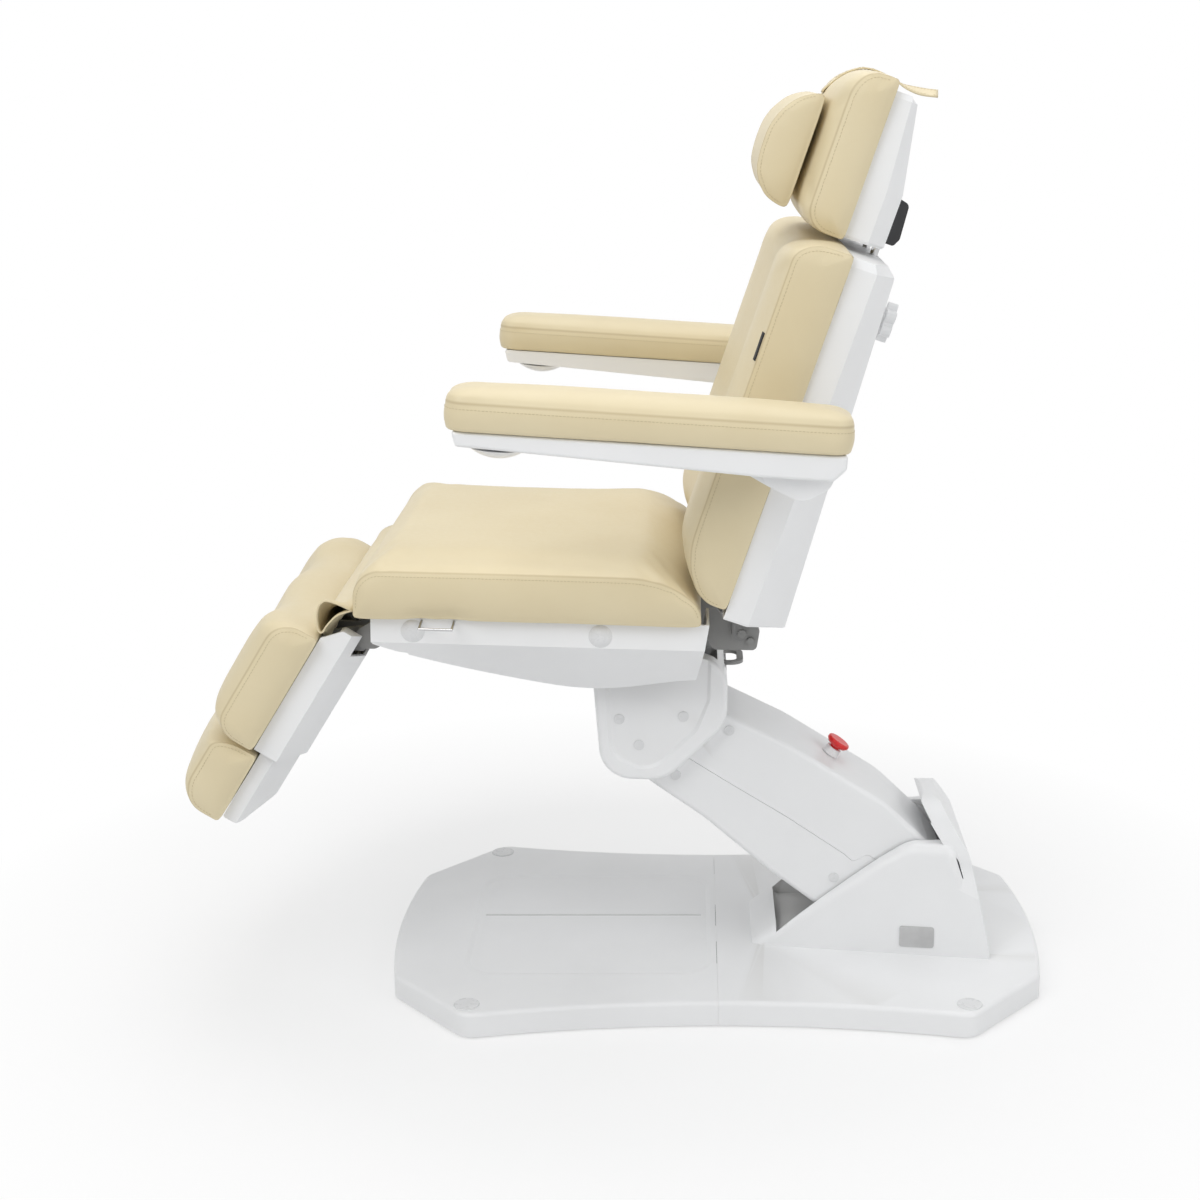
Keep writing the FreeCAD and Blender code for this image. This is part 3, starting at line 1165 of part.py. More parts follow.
def hinge_brackets():
    """Grey steel brackets behind the seat, with a bent flange and their pins and bolts."""
    x, z = BACK_PIVOT
    stub_rear = TILT_PIVOT[0] - 28
    outline = [(stub_rear, z + 25), (stub_rear, z + 55), (x - 52, z + 55, 6), (x - 26, z + 22, 10),
               (x + 28, z + 8, 10), (x + 22, z - 29, 8), (x - 42, z - 28, 8), (x - 54, z - 8, 8)]
    plate = side_prism(WORLD, outline, BRACKET_INNER, BRACKET_INNER + BRACKET_PLATE)
    flange = side_prism(WORLD, [(x - 42, z - 28), (x + 18, z - 29), (x + 18, z - 25), (x - 42, z - 24)],
                        BRACKET_INNER - 14, BRACKET_INNER + 1)
    bracket = fuse(plate, flange)
    reach = BRACKET_INNER + 2 * BRACKET_PLATE + 2 * SIDE_PLAY + 2
    bracket = bracket.cut(cross_bar(WORLD, x, z, BACK_PIN_RADIUS + RUNNING, 0, reach))
    pin = cross_bar(WORLD, x, z, BACK_PIN_RADIUS, BRACKET_INNER, reach)
    bolt = cross_bar(WORLD, x + 13, z - 14, 5.5, BRACKET_INNER + BRACKET_PLATE + 0.05,
                     BRACKET_INNER + BRACKET_PLATE + 5)
    return both(bracket) + both(pin) + both(bolt)


def back_frame():
    """Two uprights with hinge tabs, cross tubes and the crank that the back's actuator turns."""
    tab_inner = BRACKET_INNER + BRACKET_PLATE + SIDE_PLAY
    tab_outer = tab_inner + BRACKET_PLATE
    front = BACK_FACE - 10
    rear = front - BACK_TUBE
    tab = side_prism(BACK, [(-12, -12, 9), (-12, 12, 9), (70, front - 2), (91, front - 2), (91, rear + 2),
                            (60, rear + 2)], tab_inner, tab_outer)
    half = BACK_TUBE / 2
    upright = side_prism(BACK, [(BACK_SHELL_FOOT + 12, rear), (440, rear), (440, front),
                                (BACK_SHELL_FOOT + 12, front)],
                         BACK_TUBE_HALF - half, BACK_TUBE_HALF + half)
    pieces = both(tab) + both(upright)
    for u in (84.0, 428.0):
        pieces.append(side_prism(BACK, [(u - half, rear), (u + half, rear), (u + half, front),
                                        (u - half, front)],
                                 -BACK_TUBE_HALF - half, BACK_TUBE_HALF + half))
    tip = back_crank_tip()
    hinge = WORLD.at(*BACK_PIVOT)
    crank_side = Side(hinge.x, hinge.z, math.degrees(math.atan2(tip.z - hinge.z, tip.x - hinge.x)))
    crank_y = ACTUATOR_Y + 10
    crank = side_prism(crank_side, [(0, -8), (BACK_CRANK + 10, -8, 7), (BACK_CRANK + 10, 8, 7), (0, 8)],
                       crank_y, crank_y + 7)
    stay = side_prism(BACK, [(0, -9), (0, 9), (74, front - 3), (90, front - 3), (90, rear + 5),
                             (60, rear + 5)],
                      crank_y, crank_y + 7)
    hub = cross_bar(WORLD, *BACK_PIVOT, 13, crank_y, crank_y + 7)
    pin = cross_bar(WORLD, tip.x, tip.z, ROD_PIN_RADIUS, ACTUATOR_Y - 8, crank_y + 1)
    pieces += [crank, stay, hub, pin]
    frame = fuse(*pieces)
    reach = tab_outer + 1
    hole = BACK_PIN_RADIUS + RUNNING
    frame = frame.cut(cross_bar(WORLD, *BACK_PIVOT, hole, tab_inner - 1, reach))
    return frame.cut(cross_bar(WORLD, *BACK_PIVOT, hole, -reach, -tab_inner + 1))


def back_rear(u):
    """How far behind the hinge line the shell's rear face lies."""
    share = (u - BACK_SHELL_FOOT) / (BACK_SHELL_TOP - BACK_SHELL_FOOT)
    return BACK_REAR_FOOT + share * (BACK_REAR_TOP - BACK_REAR_FOOT)


def back_shell():
    """White back shell: upright sides, sloped cheeks and a flat rear, open to the cushion."""
    top_step = 12.0
    stations = []
    for u, lift in ((BACK_SHELL_FOOT, 3.0), (BACK_SHELL_FOOT + 3, 0.0), (BACK_SHELL_TOP - top_step, 0.0),
                    (BACK_SHELL_TOP, 12.0)):
        stations.append((u, BACK_SHELL_HALF - lift / 2, BACK_SHELL_CREASE + lift / 2,
                         BACK_SHELL_REAR_HALF - lift,
                         back_rear(u) + lift))
    outer = trough(BACK, stations, BACK_FACE, True)
    inner = trough(BACK, inset_stations(stations, WALL), BACK_FACE + 1, True)
    shell = outer.cut(inner)
    for y in (-POST_HALF_SPACING, POST_HALF_SPACING):
        hole = bar(BACK.at(BACK_SHELL_TOP - 30, POST_OFF, y), BACK.at(BACK_SHELL_TOP + 20, POST_OFF, y),
                   POST_RADIUS + 1.0)
        shell = shell.cut(hole)
    stem = bar(BACK.at(CLAMP_ALONG, 0), BACK.at(CLAMP_ALONG, -60), KNOB_STEM_RADIUS + 1)
    shell = shell.cut(stem)
    for side in (-1, 1):
        boss = bar(REST.at(0, 0, side * (BACK_SHELL_HALF - 20)),
                   REST.at(0, 0, side * (BACK_SHELL_HALF + 10)),
                   ARM_SHAFT_RADIUS + RUNNING)
        shell = shell.cut(boss)
    tab_y = BRACKET_INNER + BRACKET_PLATE
    slot = side_prism(BACK, [(BACK_SHELL_FOOT - 20, BACK_REAR_FOOT + WALL + 4),
                             (BACK_SHELL_FOOT + 14, BACK_REAR_FOOT + WALL + 4),
                             (BACK_SHELL_FOOT + 14, BACK_FACE + 5), (BACK_SHELL_FOOT - 20, BACK_FACE + 5)],
                      tab_y - 4, ACTUATOR_Y + 24)
    return shell.cut(slot).cut(mirrored(slot))


def back_top(half):
    crest_y = half - 92
    return [(half - 8, BACK_SEAM), (half - 40, BACK_SEAM + (BACK_CREST - BACK_SEAM) * 0.85),
            (crest_y, BACK_CREST),
            (0, BACK_DISH), (-crest_y, BACK_CREST), (-half + 40,
                                                     BACK_SEAM + (BACK_CREST - BACK_SEAM) * 0.85),
            (-half + 8, BACK_SEAM)]


def back_cushion():
    return cushion(BACK, BACK_CUSHION_FOOT, BACK_CUSHION_TOP, BACK_CUSHION_HALF, BACK_FACE + SOFT_GAP,
                   back_top,
                   BACK_FOOT_ROUND, 34.0, nose=BACK_NOSE)


# Headrest

def headrest_clamp():
    """Block inside the back that guides the headrest posts, with the hole for the clamp screw."""
    rear = back_rear(CLAMP_ALONG) + WALL + 1
    front = POST_OFF + POST_RADIUS + 9
    low, high = CLAMP_ALONG - CLAMP_HALF_HEIGHT, CLAMP_ALONG + CLAMP_HALF_HEIGHT
    half = POST_HALF_SPACING + POST_RADIUS + 10
    block = side_prism(BACK, [(low, rear + 2), (high, rear + 2), (high, front), (low, front)], -half, half)
    for y in (-POST_HALF_SPACING, POST_HALF_SPACING):
        block = block.cut(bar(BACK.at(low - 1, POST_OFF, y), BACK.at(high + 1, POST_OFF, y),
                              POST_RADIUS + RUNNING))
    screw = bar(BACK.at(CLAMP_ALONG, front + 1), BACK.at(CLAMP_ALONG, rear - 10),
                KNOB_STEM_RADIUS / 2 + RUNNING)
    return block.cut(screw)


def clamp_knob():
    """Lobed hand knob on a screw at the back of the shell."""
    face = back_rear(CLAMP_ALONG)
    head_near = face - KNOB_STEM_LENGTH
    head_far = head_near - KNOB_THICKNESS
    stem = bar(BACK.at(CLAMP_ALONG, face + WALL), BACK.at(CLAMP_ALONG, head_near - 1), KNOB_STEM_RADIUS)
    screw = bar(BACK.at(CLAMP_ALONG, POST_OFF), BACK.at(CLAMP_ALONG, face), KNOB_STEM_RADIUS / 2)
    core = bar(BACK.at(CLAMP_ALONG, head_near), BACK.at(CLAMP_ALONG, head_far), KNOB_RADIUS * 0.74)
    pieces = [stem, screw, core]
    lobe_radius = KNOB_RADIUS * 0.3
    for i in range(KNOB_LOBES):
        turn = 2 * math.pi * i / KNOB_LOBES
        u = CLAMP_ALONG + (KNOB_RADIUS - lobe_radius) * math.cos(turn)
        y = (KNOB_RADIUS - lobe_radius) * math.sin(turn)
        pieces.append(bar(BACK.at(u, head_near, y), BACK.at(u, head_far, y), lobe_radius))
    return fuse(*pieces)


def headrest_posts():
    """Two chromed posts joined by the headrest's hinge barrel."""
    hinge_u, hinge_w = HEAD_HINGE
    pieces = []
    for y in (-POST_HALF_SPACING, POST_HALF_SPACING):
        pieces.append(bar(BACK.at(POST_FOOT, POST_OFF, y), BACK.at(hinge_u, POST_OFF, y), POST_RADIUS))
    reach = POST_HALF_SPACING + 30
    pieces.append(cross_bar(BACK, hinge_u, hinge_w, HEAD_HINGE_RADIUS, -reach, reach))
    return fuse(*pieces)


def headrest_rear(u):
    """Rear face of the headrest shell: straight below, sloping forward to the top."""
    bend = 682.0
    share = max(0.0, (u - bend) / (HEADREST_TOP - bend))
    return 1.5 + share * 26.0


def headrest_shell():
    """White headrest shell with hinge lugs inside, open to the cushion."""
    stations = []
    for u, lift in ((HEADREST_FOOT, 3.0), (HEADREST_FOOT + 4, 0.0), (682.0, 0.0), (HEADREST_TOP - 8, 0.0),
                    (HEADREST_TOP, 9.0)):
        stations.append((u, HEADREST_SHELL_HALF - lift / 2, 26.0 + headrest_rear(u) * 0.4,
                         HEADREST_SHELL_HALF - 18 - lift, headrest_rear(u) + lift))
    outer = trough(BACK, stations, HEADREST_FACE, True)
    inner = trough(BACK, inset_stations(stations, WALL), HEADREST_FACE + 1, True)
    shell = outer.cut(inner)
    hinge_u, hinge_w = HEAD_HINGE
    inner_y = POST_HALF_SPACING + POST_RADIUS + 4
    lug = side_prism(BACK, [(hinge_u - 16, 3.0), (hinge_u + 16, 3.0), (hinge_u + 16, hinge_w + 18, 12),
                            (hinge_u - 16, hinge_w + 18, 12)], inner_y, inner_y + 12)
    shell = fuse(shell, *both(lug))
    shell = shell.cut(cross_bar(BACK, hinge_u, hinge_w, HEAD_HINGE_RADIUS + RUNNING, -inner_y - 30,
                                inner_y + 30))
    for y in (-POST_HALF_SPACING, POST_HALF_SPACING):
        slot = side_prism(BACK, [(HEADREST_FOOT - 30, -30.0), (hinge_u + 24, -30.0),
                                 (hinge_u + 24, 34.0, 8),
                                 (HEADREST_FOOT - 30, 56.0)], y - POST_RADIUS - 2, y + POST_RADIUS + 2)
        shell = shell.cut(slot)
    return shell


def headrest_top(half):
    return [(half - 6, HEADREST_SEAM), (0, HEADREST_CROWN), (-half + 6, HEADREST_SEAM)]


def headrest_cushion():
    return cushion(BACK, HEADREST_CUSHION_FOOT, HEADREST_CUSHION_TOP, HEADREST_HALF,
                   HEADREST_FACE + SOFT_GAP,
                   headrest_top, 34.0, 46.0, draw=3.0)


def headrest_lever_pivot():
    """Where the release lever turns, near its lower end."""
    near = headrest_rear(HEADREST_FOOT) - HEAD_LEVER_GAP
    return BACK.at(HEAD_LEVER_FOOT + 8, near - 8)


def headrest_lever():
    """Black release lever hinged on the rear of the headrest shell."""
    near = headrest_rear(HEADREST_FOOT) - HEAD_LEVER_GAP
    far = near - HEAD_LEVER_DEPTH
    foot = HEAD_LEVER_FOOT
    top = foot + HEAD_LEVER_LENGTH
    return side_prism(BACK, [(foot, near, 5), (top, near, 5), (top - 6, far, 8), (foot + 12, far - 4, 10),
                             (foot, far + 2, 5)], -HEAD_LEVER_HALF, HEAD_LEVER_HALF)


def neck_pillow():
    """Half-moon pillow strapped to the front of the headrest."""
    face = HEADREST_CROWN + 1.0 + SOFT_GAP
    foot, top = PILLOW_FOOT, PILLOW_TOP
    middle = (foot + top) / 2
    wires = []
    for y, scale in ((-1.0, 0.90), (-0.93, 0.97), (-0.5, 1.0), (0.0, 1.015), (0.5, 1.0), (0.93, 0.97),
                     (1.0, 0.90)):
        half = (top - foot) / 2 * scale
        depth = PILLOW_DEPTH * scale
        across = y * PILLOW_HALF
        ends = [BACK.at(middle - half, face + 6, across), BACK.at(middle + half, face + 6, across)]
        crown = BACK.at(middle - half * 0.1, face + depth, across)
        low_side = BACK.at(middle - half * 0.86, face + depth * 0.62, across)
        high_side = BACK.at(middle + half * 0.72, face + depth * 0.66, across)
        flat = BACK.at(middle, face, across)
        wires.append(Part.Wire([Part.Arc(ends[0], low_side, crown).toShape(),
                                Part.Arc(crown, high_side, ends[1]).toShape(),
                                Part.Arc(ends[1], flat, ends[0]).toShape()]))
    return loft(wires, False)


def pillow_strap():
    """Strap from the pillow over the headrest's top, with its free end behind."""
    face = HEADREST_CROWN + 1.0
    top = HEADREST_CUSHION_TOP + SOFT_GAP + 4
    rear = HEADREST_FACE
    line = [(PILLOW_TOP + 3, face + 4), (PILLOW_TOP + 14, face + 2), (top - 14, HEADREST_CROWN - 8),
            (top, HEADREST_CROWN - 30),
            (top + 2, rear + 24), (top - 2, rear - 2), (top - 8, rear - 30), (top - 4, rear - 58)]
    thick = STRAP_THICKNESS
    outline = line + [(u + (thick if w < 120 else thick * 0.6), w + (0 if w < 120 else thick * 0.9))
                      for u, w in reversed(line)]
    return side_prism(BACK, outline, -STRAP_HALF, STRAP_HALF)


# Armrests, drawn on the near side and mirrored

def armrest_pad():
    """Long padded armrest with rolled ends."""
    half = ARMREST_WIDTH / 2

    def top(reach):
        return [(reach - 3, PAD_SEAM), (0, PAD_TOP), (-reach + 3, PAD_SEAM)]

    pad = cushion(REST, ARMREST_TAIL, ARMREST_NOSE, half, PAD_LOW + SOFT_GAP, top, 26.0, 26.0, draw=1.0,
                  tuck=6.0)
    pad.translate(V(0, -ARMREST_INNER - half, 0))
    return pad


def armrest_tray():
    """White tray under the pad, with the rounded boss and shaft that turn in the back's side."""
    y_out = -ARMREST_INNER - ARMREST_WIDTH + TRAY_INSET
    y_in = -ARMREST_INNER - TRAY_INSET
    tail, nose = ARMREST_TAIL + TRAY_INSET, ARMREST_NOSE - TRAY_INSET - 4
    tray = side_prism(REST, [(tail, PAD_LOW, 4), (nose, PAD_LOW, 3), (nose - 6, PAD_LOW - TRAY_FRONT, 6),
                             (ARM_CAP_ALONG - 60, PAD_LOW - TRAY_FRONT - 4, 200),
                             (60.0, PAD_LOW - TRAY_REAR + 3, 200),
                             (tail + 16, PAD_LOW - TRAY_REAR + 3, 12), (tail, PAD_LOW - 18, 10)], y_out,
                             y_in)
    lower = [e for e in tray.Edges if tray_edge(e, y_out)]
    tray = tray.makeFillet(5.0, lower)
    boss = side_prism(REST, [(-46.0, 4.0), (-34.0, -26.0, 22), (0.0, -BOSS_RADIUS - 6, 30),
                             (48.0, -26.0, 60),
                             (84.0, -8.0), (84.0, 4.0)], y_out + 26, y_in)
    shaft = bar(REST.at(0, 0, y_in - 2), REST.at(0, 0, -BACK_SHELL_HALF + 8), ARM_SHAFT_RADIUS)
    collar = bar(REST.at(0, 0, y_in - 2), REST.at(0, 0, -BACK_SHELL_HALF - SIDE_PLAY), ARM_SHAFT_RADIUS + 5)
    return fuse(tray, boss, collar, shaft)


def tray_edge(edge, y_out):
    """True for the outer lower edges of the armrest tray."""
    if not all(abs(v.Y - y_out) < 0.01 for v in edge.Vertexes):
        return False
    return all((v.Point - REST.zero).dot(REST.off) < PAD_LOW - 1 for v in edge.Vertexes)


def armrest_cap():
    """Round domed cover under the front of the tray."""
    y_mid = -ARMREST_INNER - ARMREST_WIDTH / 2
    low = PAD_LOW - TRAY_FRONT - 4.5
    curve = (ARM_CAP_RADIUS ** 2 + ARM_CAP_HEIGHT ** 2) / (2 * ARM_CAP_HEIGHT)
    at = REST.at(ARM_CAP_ALONG, low, y_mid)
    down = REST.off * -1
    ball = Part.makeSphere(curve, at - down * (curve - ARM_CAP_HEIGHT))
    return bar(at, at + down * (ARM_CAP_HEIGHT + 1), ARM_CAP_RADIUS).common(ball)


# Legrest and footrest

def leg_stations(inset):
    stations = []
    for u in (-6.0 + inset, LEG_SHELL_END - inset):
        stations.append((u, LEG_SHELL_HALF - inset, LEG_CREASE + inset / 2, LEG_KEEL_HALF - inset / 2,
                         LEG_REAR + inset))
    return stations


def leg_shell():
    """White legrest shell, open to the cushion and to the footrest that slides in it."""
    outer = trough(LEG, leg_stations(0), LEG_FACE, True)
    wide = LEG_SHELL_HALF + 1
    profile = side_prism(LEG, [(-6.0, LEG_REAR - 1), (-6.0, 34.0, 6), (20.0, LEG_FACE),
                               (LEG_SHELL_END, LEG_FACE),
                               (LEG_SHELL_END, LEG_CREASE - 8, 6), (LEG_SHELL_END - 12, LEG_REAR - 1)],
                               -wide, wide)
    outer = outer.common(profile)
    inner = trough(LEG, [(-6.0 + WALL,) + leg_stations(WALL)[0][1:],
                         (LEG_SHELL_END + 20,) + leg_stations(WALL)[1][1:]],
                   LEG_FACE + 1, True)
    shell = outer.cut(inner)
    x_gap = side_prism(LEG, [(-20.0, LEG_REAR - 5), (30.0, LEG_REAR - 5), (30.0, LEG_FACE + 5),
                             (-20.0, LEG_FACE + 5)],
                       -RAIL_HALF, RAIL_HALF)
    return shell.cut(x_gap)


def leg_top(half):
    """Two calf channels between side rolls and a middle ridge."""
    roll = half - 52
    channel = half * 0.46
    return [(half - 6, LEG_SEAM), (half - 24, LEG_CREST - 4), (roll, LEG_CREST), (channel, LEG_CHANNEL),
            (0, LEG_RIDGE), (-channel, LEG_CHANNEL), (-roll, LEG_CREST), (-half + 24, LEG_CREST - 4),
            (-half + 6, LEG_SEAM)]


def leg_cushion():
    return cushion(LEG, LEG_CUSHION_START, LEG_CUSHION_END, LEG_HALF, LEG_FACE + SOFT_GAP, leg_top, 36.0,
                   34.0)


def leg_frame():
    """Legrest frame: hinge plates, two flat bars, sleeve blocks for the foot rails and the crank."""
    plate_inner = LEG_LUG_INNER - LEG_LUG - SIDE_PLAY
    plate = side_prism(LEG, [(-13, -13, 12), (20, -6), (44, 40), (44, LEG_FACE - 4), (20, LEG_FACE - 4),
                             (-13, 13, 12)],
                       plate_inner, plate_inner + LEG_LUG)
    flat_low, flat_high = LEG_FACE - 9, LEG_FACE - 1
    flat = side_prism(LEG, [(14, flat_low), (LEG_SHELL_END - 8, flat_low), (LEG_SHELL_END - 8, flat_high),
                            (22, flat_high)], FOOT_RAIL_HALF - 14, plate_inner + LEG_LUG)
    pieces = both(plate) + both(flat)
    pieces.append(side_prism(LEG, [(24, flat_low), (52, flat_low), (52, flat_high), (24, flat_high)],
                             -plate_inner, plate_inner))
    for u in (32.0, 92.0):
        for y in (-FOOT_RAIL_HALF, FOOT_RAIL_HALF):
            pieces.append(side_prism(LEG, [(u, FOOT_RAIL_OFF - 14), (u + 20, FOOT_RAIL_OFF - 14),
                                           (u + 20, flat_low + 1), (u, flat_low + 1)], y - 14, y + 14))
    tip = leg_crank_tip()
    hinge = WORLD.at(*LEG_PIVOT)
    crank_side = Side(hinge.x, hinge.z, math.degrees(math.atan2(tip.z - hinge.z, tip.x - hinge.x)))
    crank_y = -ACTUATOR_Y - 10 - 7
    crank = side_prism(crank_side, [(-10, -10, 9), (LEG_CRANK + 8, -8, 7), (LEG_CRANK + 8, 8, 7),
                                    (-10, 10, 9)],
                       crank_y, crank_y + 7)
    stay = side_prism(LEG, [(-10, -10, 9), (24, -8), (24, 50), (14, 50), (-10, 10, 9)], crank_y,
                      crank_y + 7)
    pin = cross_bar(WORLD, tip.x, tip.z, ROD_PIN_RADIUS, crank_y + 1, -ACTUATOR_Y + 8)
    frame = fuse(*pieces, crank, stay, pin)
    for y in (-FOOT_RAIL_HALF, FOOT_RAIL_HALF):
        frame = frame.cut(bar(LEG.at(20, FOOT_RAIL_OFF, y), LEG.at(140, FOOT_RAIL_OFF, y),
                              FOOT_RAIL_RADIUS + RUNNING))
    hole = LEG_PIN_RADIUS + RUNNING
    for y_from, y_to in ((plate_inner - 1, plate_inner + LEG_LUG + 1),
                         (-plate_inner - LEG_LUG - 1, -plate_inner + 1)):
        frame = frame.cut(cross_bar(WORLD, *LEG_PIVOT, hole, y_from, y_to))
    return frame


def foot_shell():
    """White footrest tray, half of it inside the legrest shell."""
    stations = [(FOOT_SHELL_START, FOOT_SHELL_HALF, 24.0, FOOT_KEEL_HALF, -5.0),
                (FOOT_SHELL_END, FOOT_SHELL_HALF, 24.0, FOOT_KEEL_HALF, -5.0)]
    outer = trough(LEG, stations, FOOT_FACE, True)
    wide = FOOT_SHELL_HALF + 1
    profile = side_prism(LEG, [(FOOT_SHELL_START, -6.0), (FOOT_SHELL_START, FOOT_FACE),
                               (FOOT_SHELL_END, FOOT_FACE, 4),
                               (FOOT_SHELL_END, 20.0, 14), (FOOT_SHELL_END - 50, -6.0, 40)], -wide, wide)
    inner_stations = [(FOOT_SHELL_START - 20,) + inset_stations(stations, WALL)[0][1:],
                      (FOOT_SHELL_END - WALL,) + inset_stations(stations, WALL)[1][1:]]
    inner_profile = side_prism(LEG, [(FOOT_SHELL_START - 20, -1.0), (FOOT_SHELL_START - 20, FOOT_FACE + 2),
                                     (FOOT_SHELL_END - WALL, FOOT_FACE + 2),
                                     (FOOT_SHELL_END - WALL, 20.0, 12),
                                     (FOOT_SHELL_END - 52, -1.0, 36)], -wide, wide)
    inner = trough(LEG, inner_stations, FOOT_FACE + 1, True).common(inner_profile)
    shell = outer.common(profile).cut(inner)
    rib_u = FOOT_CUSHION_START + 30
    rib = side_prism(LEG, [(rib_u, 0.0), (rib_u + 14, 0.0), (rib_u + 14, FOOT_FACE), (rib_u, FOOT_FACE)],
                     -FOOT_SHELL_HALF + WALL, FOOT_SHELL_HALF - WALL).common(outer)
    shell = fuse(shell, rib)
    for y in (-FOOT_RAIL_HALF, FOOT_RAIL_HALF):
        shell = shell.cut(bar(LEG.at(rib_u - 1, FOOT_RAIL_OFF, y), LEG.at(rib_u + 15, FOOT_RAIL_OFF, y),
                              FOOT_RAIL_RADIUS + RUNNING))
    return shell


def foot_top(half):
    return [(half - 6, FOOT_SEAM), (0, FOOT_CROWN), (-half + 6, FOOT_SEAM)]


def foot_cushion():
    return cushion(LEG, FOOT_CUSHION_START, FOOT_CUSHION_END, FOOT_HALF, FOOT_FACE + SOFT_GAP + 4, foot_top,
                   20.0, 46.0)


def foot_rails():
    rails = []
    for y in (-FOOT_RAIL_HALF, FOOT_RAIL_HALF):
        rails.append(bar(LEG.at(24, FOOT_RAIL_OFF, y), LEG.at(FOOT_CUSHION_START + 44, FOOT_RAIL_OFF, y),
                         FOOT_RAIL_RADIUS))
    return rails


def build():
    os.makedirs("parts", exist_ok=True)
    shell = base_shell()
    save("base_front_cover", base_front_cover(shell))
    save("base_rear_cover", base_rear_cover(shell).cut(inlet_hole()))
    save("base_frame", base_frame())
    save("foot_caps", *foot_caps())
    save("levelling_feet", *levelling_feet())
    save("blank_plate", blank_plate())
    save("power_inlet", inlet_with_socket())
    save("lower_pivot_shafts", *lower_shafts())

    save("lift_arm_frame", arm_frame())
    upper, lower = arm_covers()
    save("arm_upper_cover", upper)
    save("arm_lower_cover", lower)
    save("arm_screw_caps", *arm_caps())
    collar, button = stop_button()
    save("stop_button_collar", collar)
    save("stop_button", button)
    save("levelling_link", levelling_link())
    motor, rod = lift_actuator()
    save("lift_actuator_body", motor)
    save("lift_actuator_rod", rod)

    near_cover = head_cover()
    save("head_knuckle", head_knuckle())
    save("upper_pivot_shafts", *upper_shafts())
    save("head_cover_left", near_cover)
    save("head_cover_right", mirrored(near_cover))
    save("head_screw_caps", *head_caps())
    save("swivel_plate", turntable())
    save("tilt_pin", tilt_pin())
    save("swivel_lever", swivel_lever())

    save("seat_frame", seat_frame())
    save("seat_shell", seat_shell())
    save("seat_cushion", seat_cushion())
    save("seat_screw_domes", *screw_domes())
    save("side_loops", *side_loops())
    save("hinge_brackets", *hinge_brackets(), *leg_hinge_lugs())
    motor, rod = tilt_actuator()
    save("tilt_actuator_body", motor)
    save("tilt_actuator_rod", rod)
    motor, rod = level_actuator(back_crank_tip(), ACTUATOR_Y, -330.0, -100.0, 1.0, 9.0)
    save("back_actuator_body", motor)
    save("back_actuator_rod", rod)
    motor, rod = level_actuator(leg_crank_tip(), -ACTUATOR_Y, -200.0, -440.0, 6.0, 3.0)
    save("leg_actuator_body", motor)
    save("leg_actuator_rod", rod)

    save("back_frame", back_frame())
    save("back_shell", back_shell())
    save("back_cushion", back_cushion())
    save("headrest_clamp", headrest_clamp())
    save("clamp_knob", clamp_knob())
    save("headrest_posts", headrest_posts())
    save("headrest_shell", headrest_shell())
    save("headrest_cushion", headrest_cushion())
    save("headrest_lever", headrest_lever())
    save("neck_pillow", neck_pillow())
    save("pillow_strap", pillow_strap())

    pad, tray, cap = armrest_pad(), armrest_tray(), armrest_cap()
    for piece, shape in (("pad", pad), ("tray", tray), ("cap", cap)):
        save("armrest_%s_left" % piece, shape)
        save("armrest_%s_right" % piece, mirrored(shape))

    save("legrest_frame", leg_frame())
    save("legrest_shell", leg_shell())
    save("legrest_cushion", leg_cushion())
    save("footrest_shell", foot_shell())
    save("footrest_cushion", foot_cushion())
    save("footrest_rails", *foot_rails())


build()
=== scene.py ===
import json
import math

import bmesh
import bpy
import numpy as np
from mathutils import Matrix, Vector, noise
from mathutils.bvhtree import BVHTree


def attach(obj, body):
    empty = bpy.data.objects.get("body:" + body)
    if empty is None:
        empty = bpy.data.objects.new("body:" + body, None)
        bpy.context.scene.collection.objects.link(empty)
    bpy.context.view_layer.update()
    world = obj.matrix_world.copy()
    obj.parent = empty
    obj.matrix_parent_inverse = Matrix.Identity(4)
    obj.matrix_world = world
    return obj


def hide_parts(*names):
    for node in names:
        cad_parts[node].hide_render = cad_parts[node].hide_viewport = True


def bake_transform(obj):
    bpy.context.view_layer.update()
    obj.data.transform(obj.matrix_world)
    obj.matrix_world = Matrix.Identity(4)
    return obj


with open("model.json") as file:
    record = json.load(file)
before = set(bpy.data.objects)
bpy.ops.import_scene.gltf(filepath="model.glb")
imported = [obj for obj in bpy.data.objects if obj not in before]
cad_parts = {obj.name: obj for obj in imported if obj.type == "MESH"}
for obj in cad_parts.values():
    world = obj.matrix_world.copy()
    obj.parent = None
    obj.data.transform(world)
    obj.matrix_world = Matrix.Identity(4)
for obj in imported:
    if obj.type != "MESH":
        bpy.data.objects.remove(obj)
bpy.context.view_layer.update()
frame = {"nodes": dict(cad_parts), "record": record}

# Looks of the electric procedure chair.
# Lengths below are millimetres in the side-view frames of the CAD source. Blender objects are in metres.

NODES = frame["nodes"]
MM = 0.001
ORIGIN_SHIFT = 141.5
FLOOR_LEVEL = 9.0

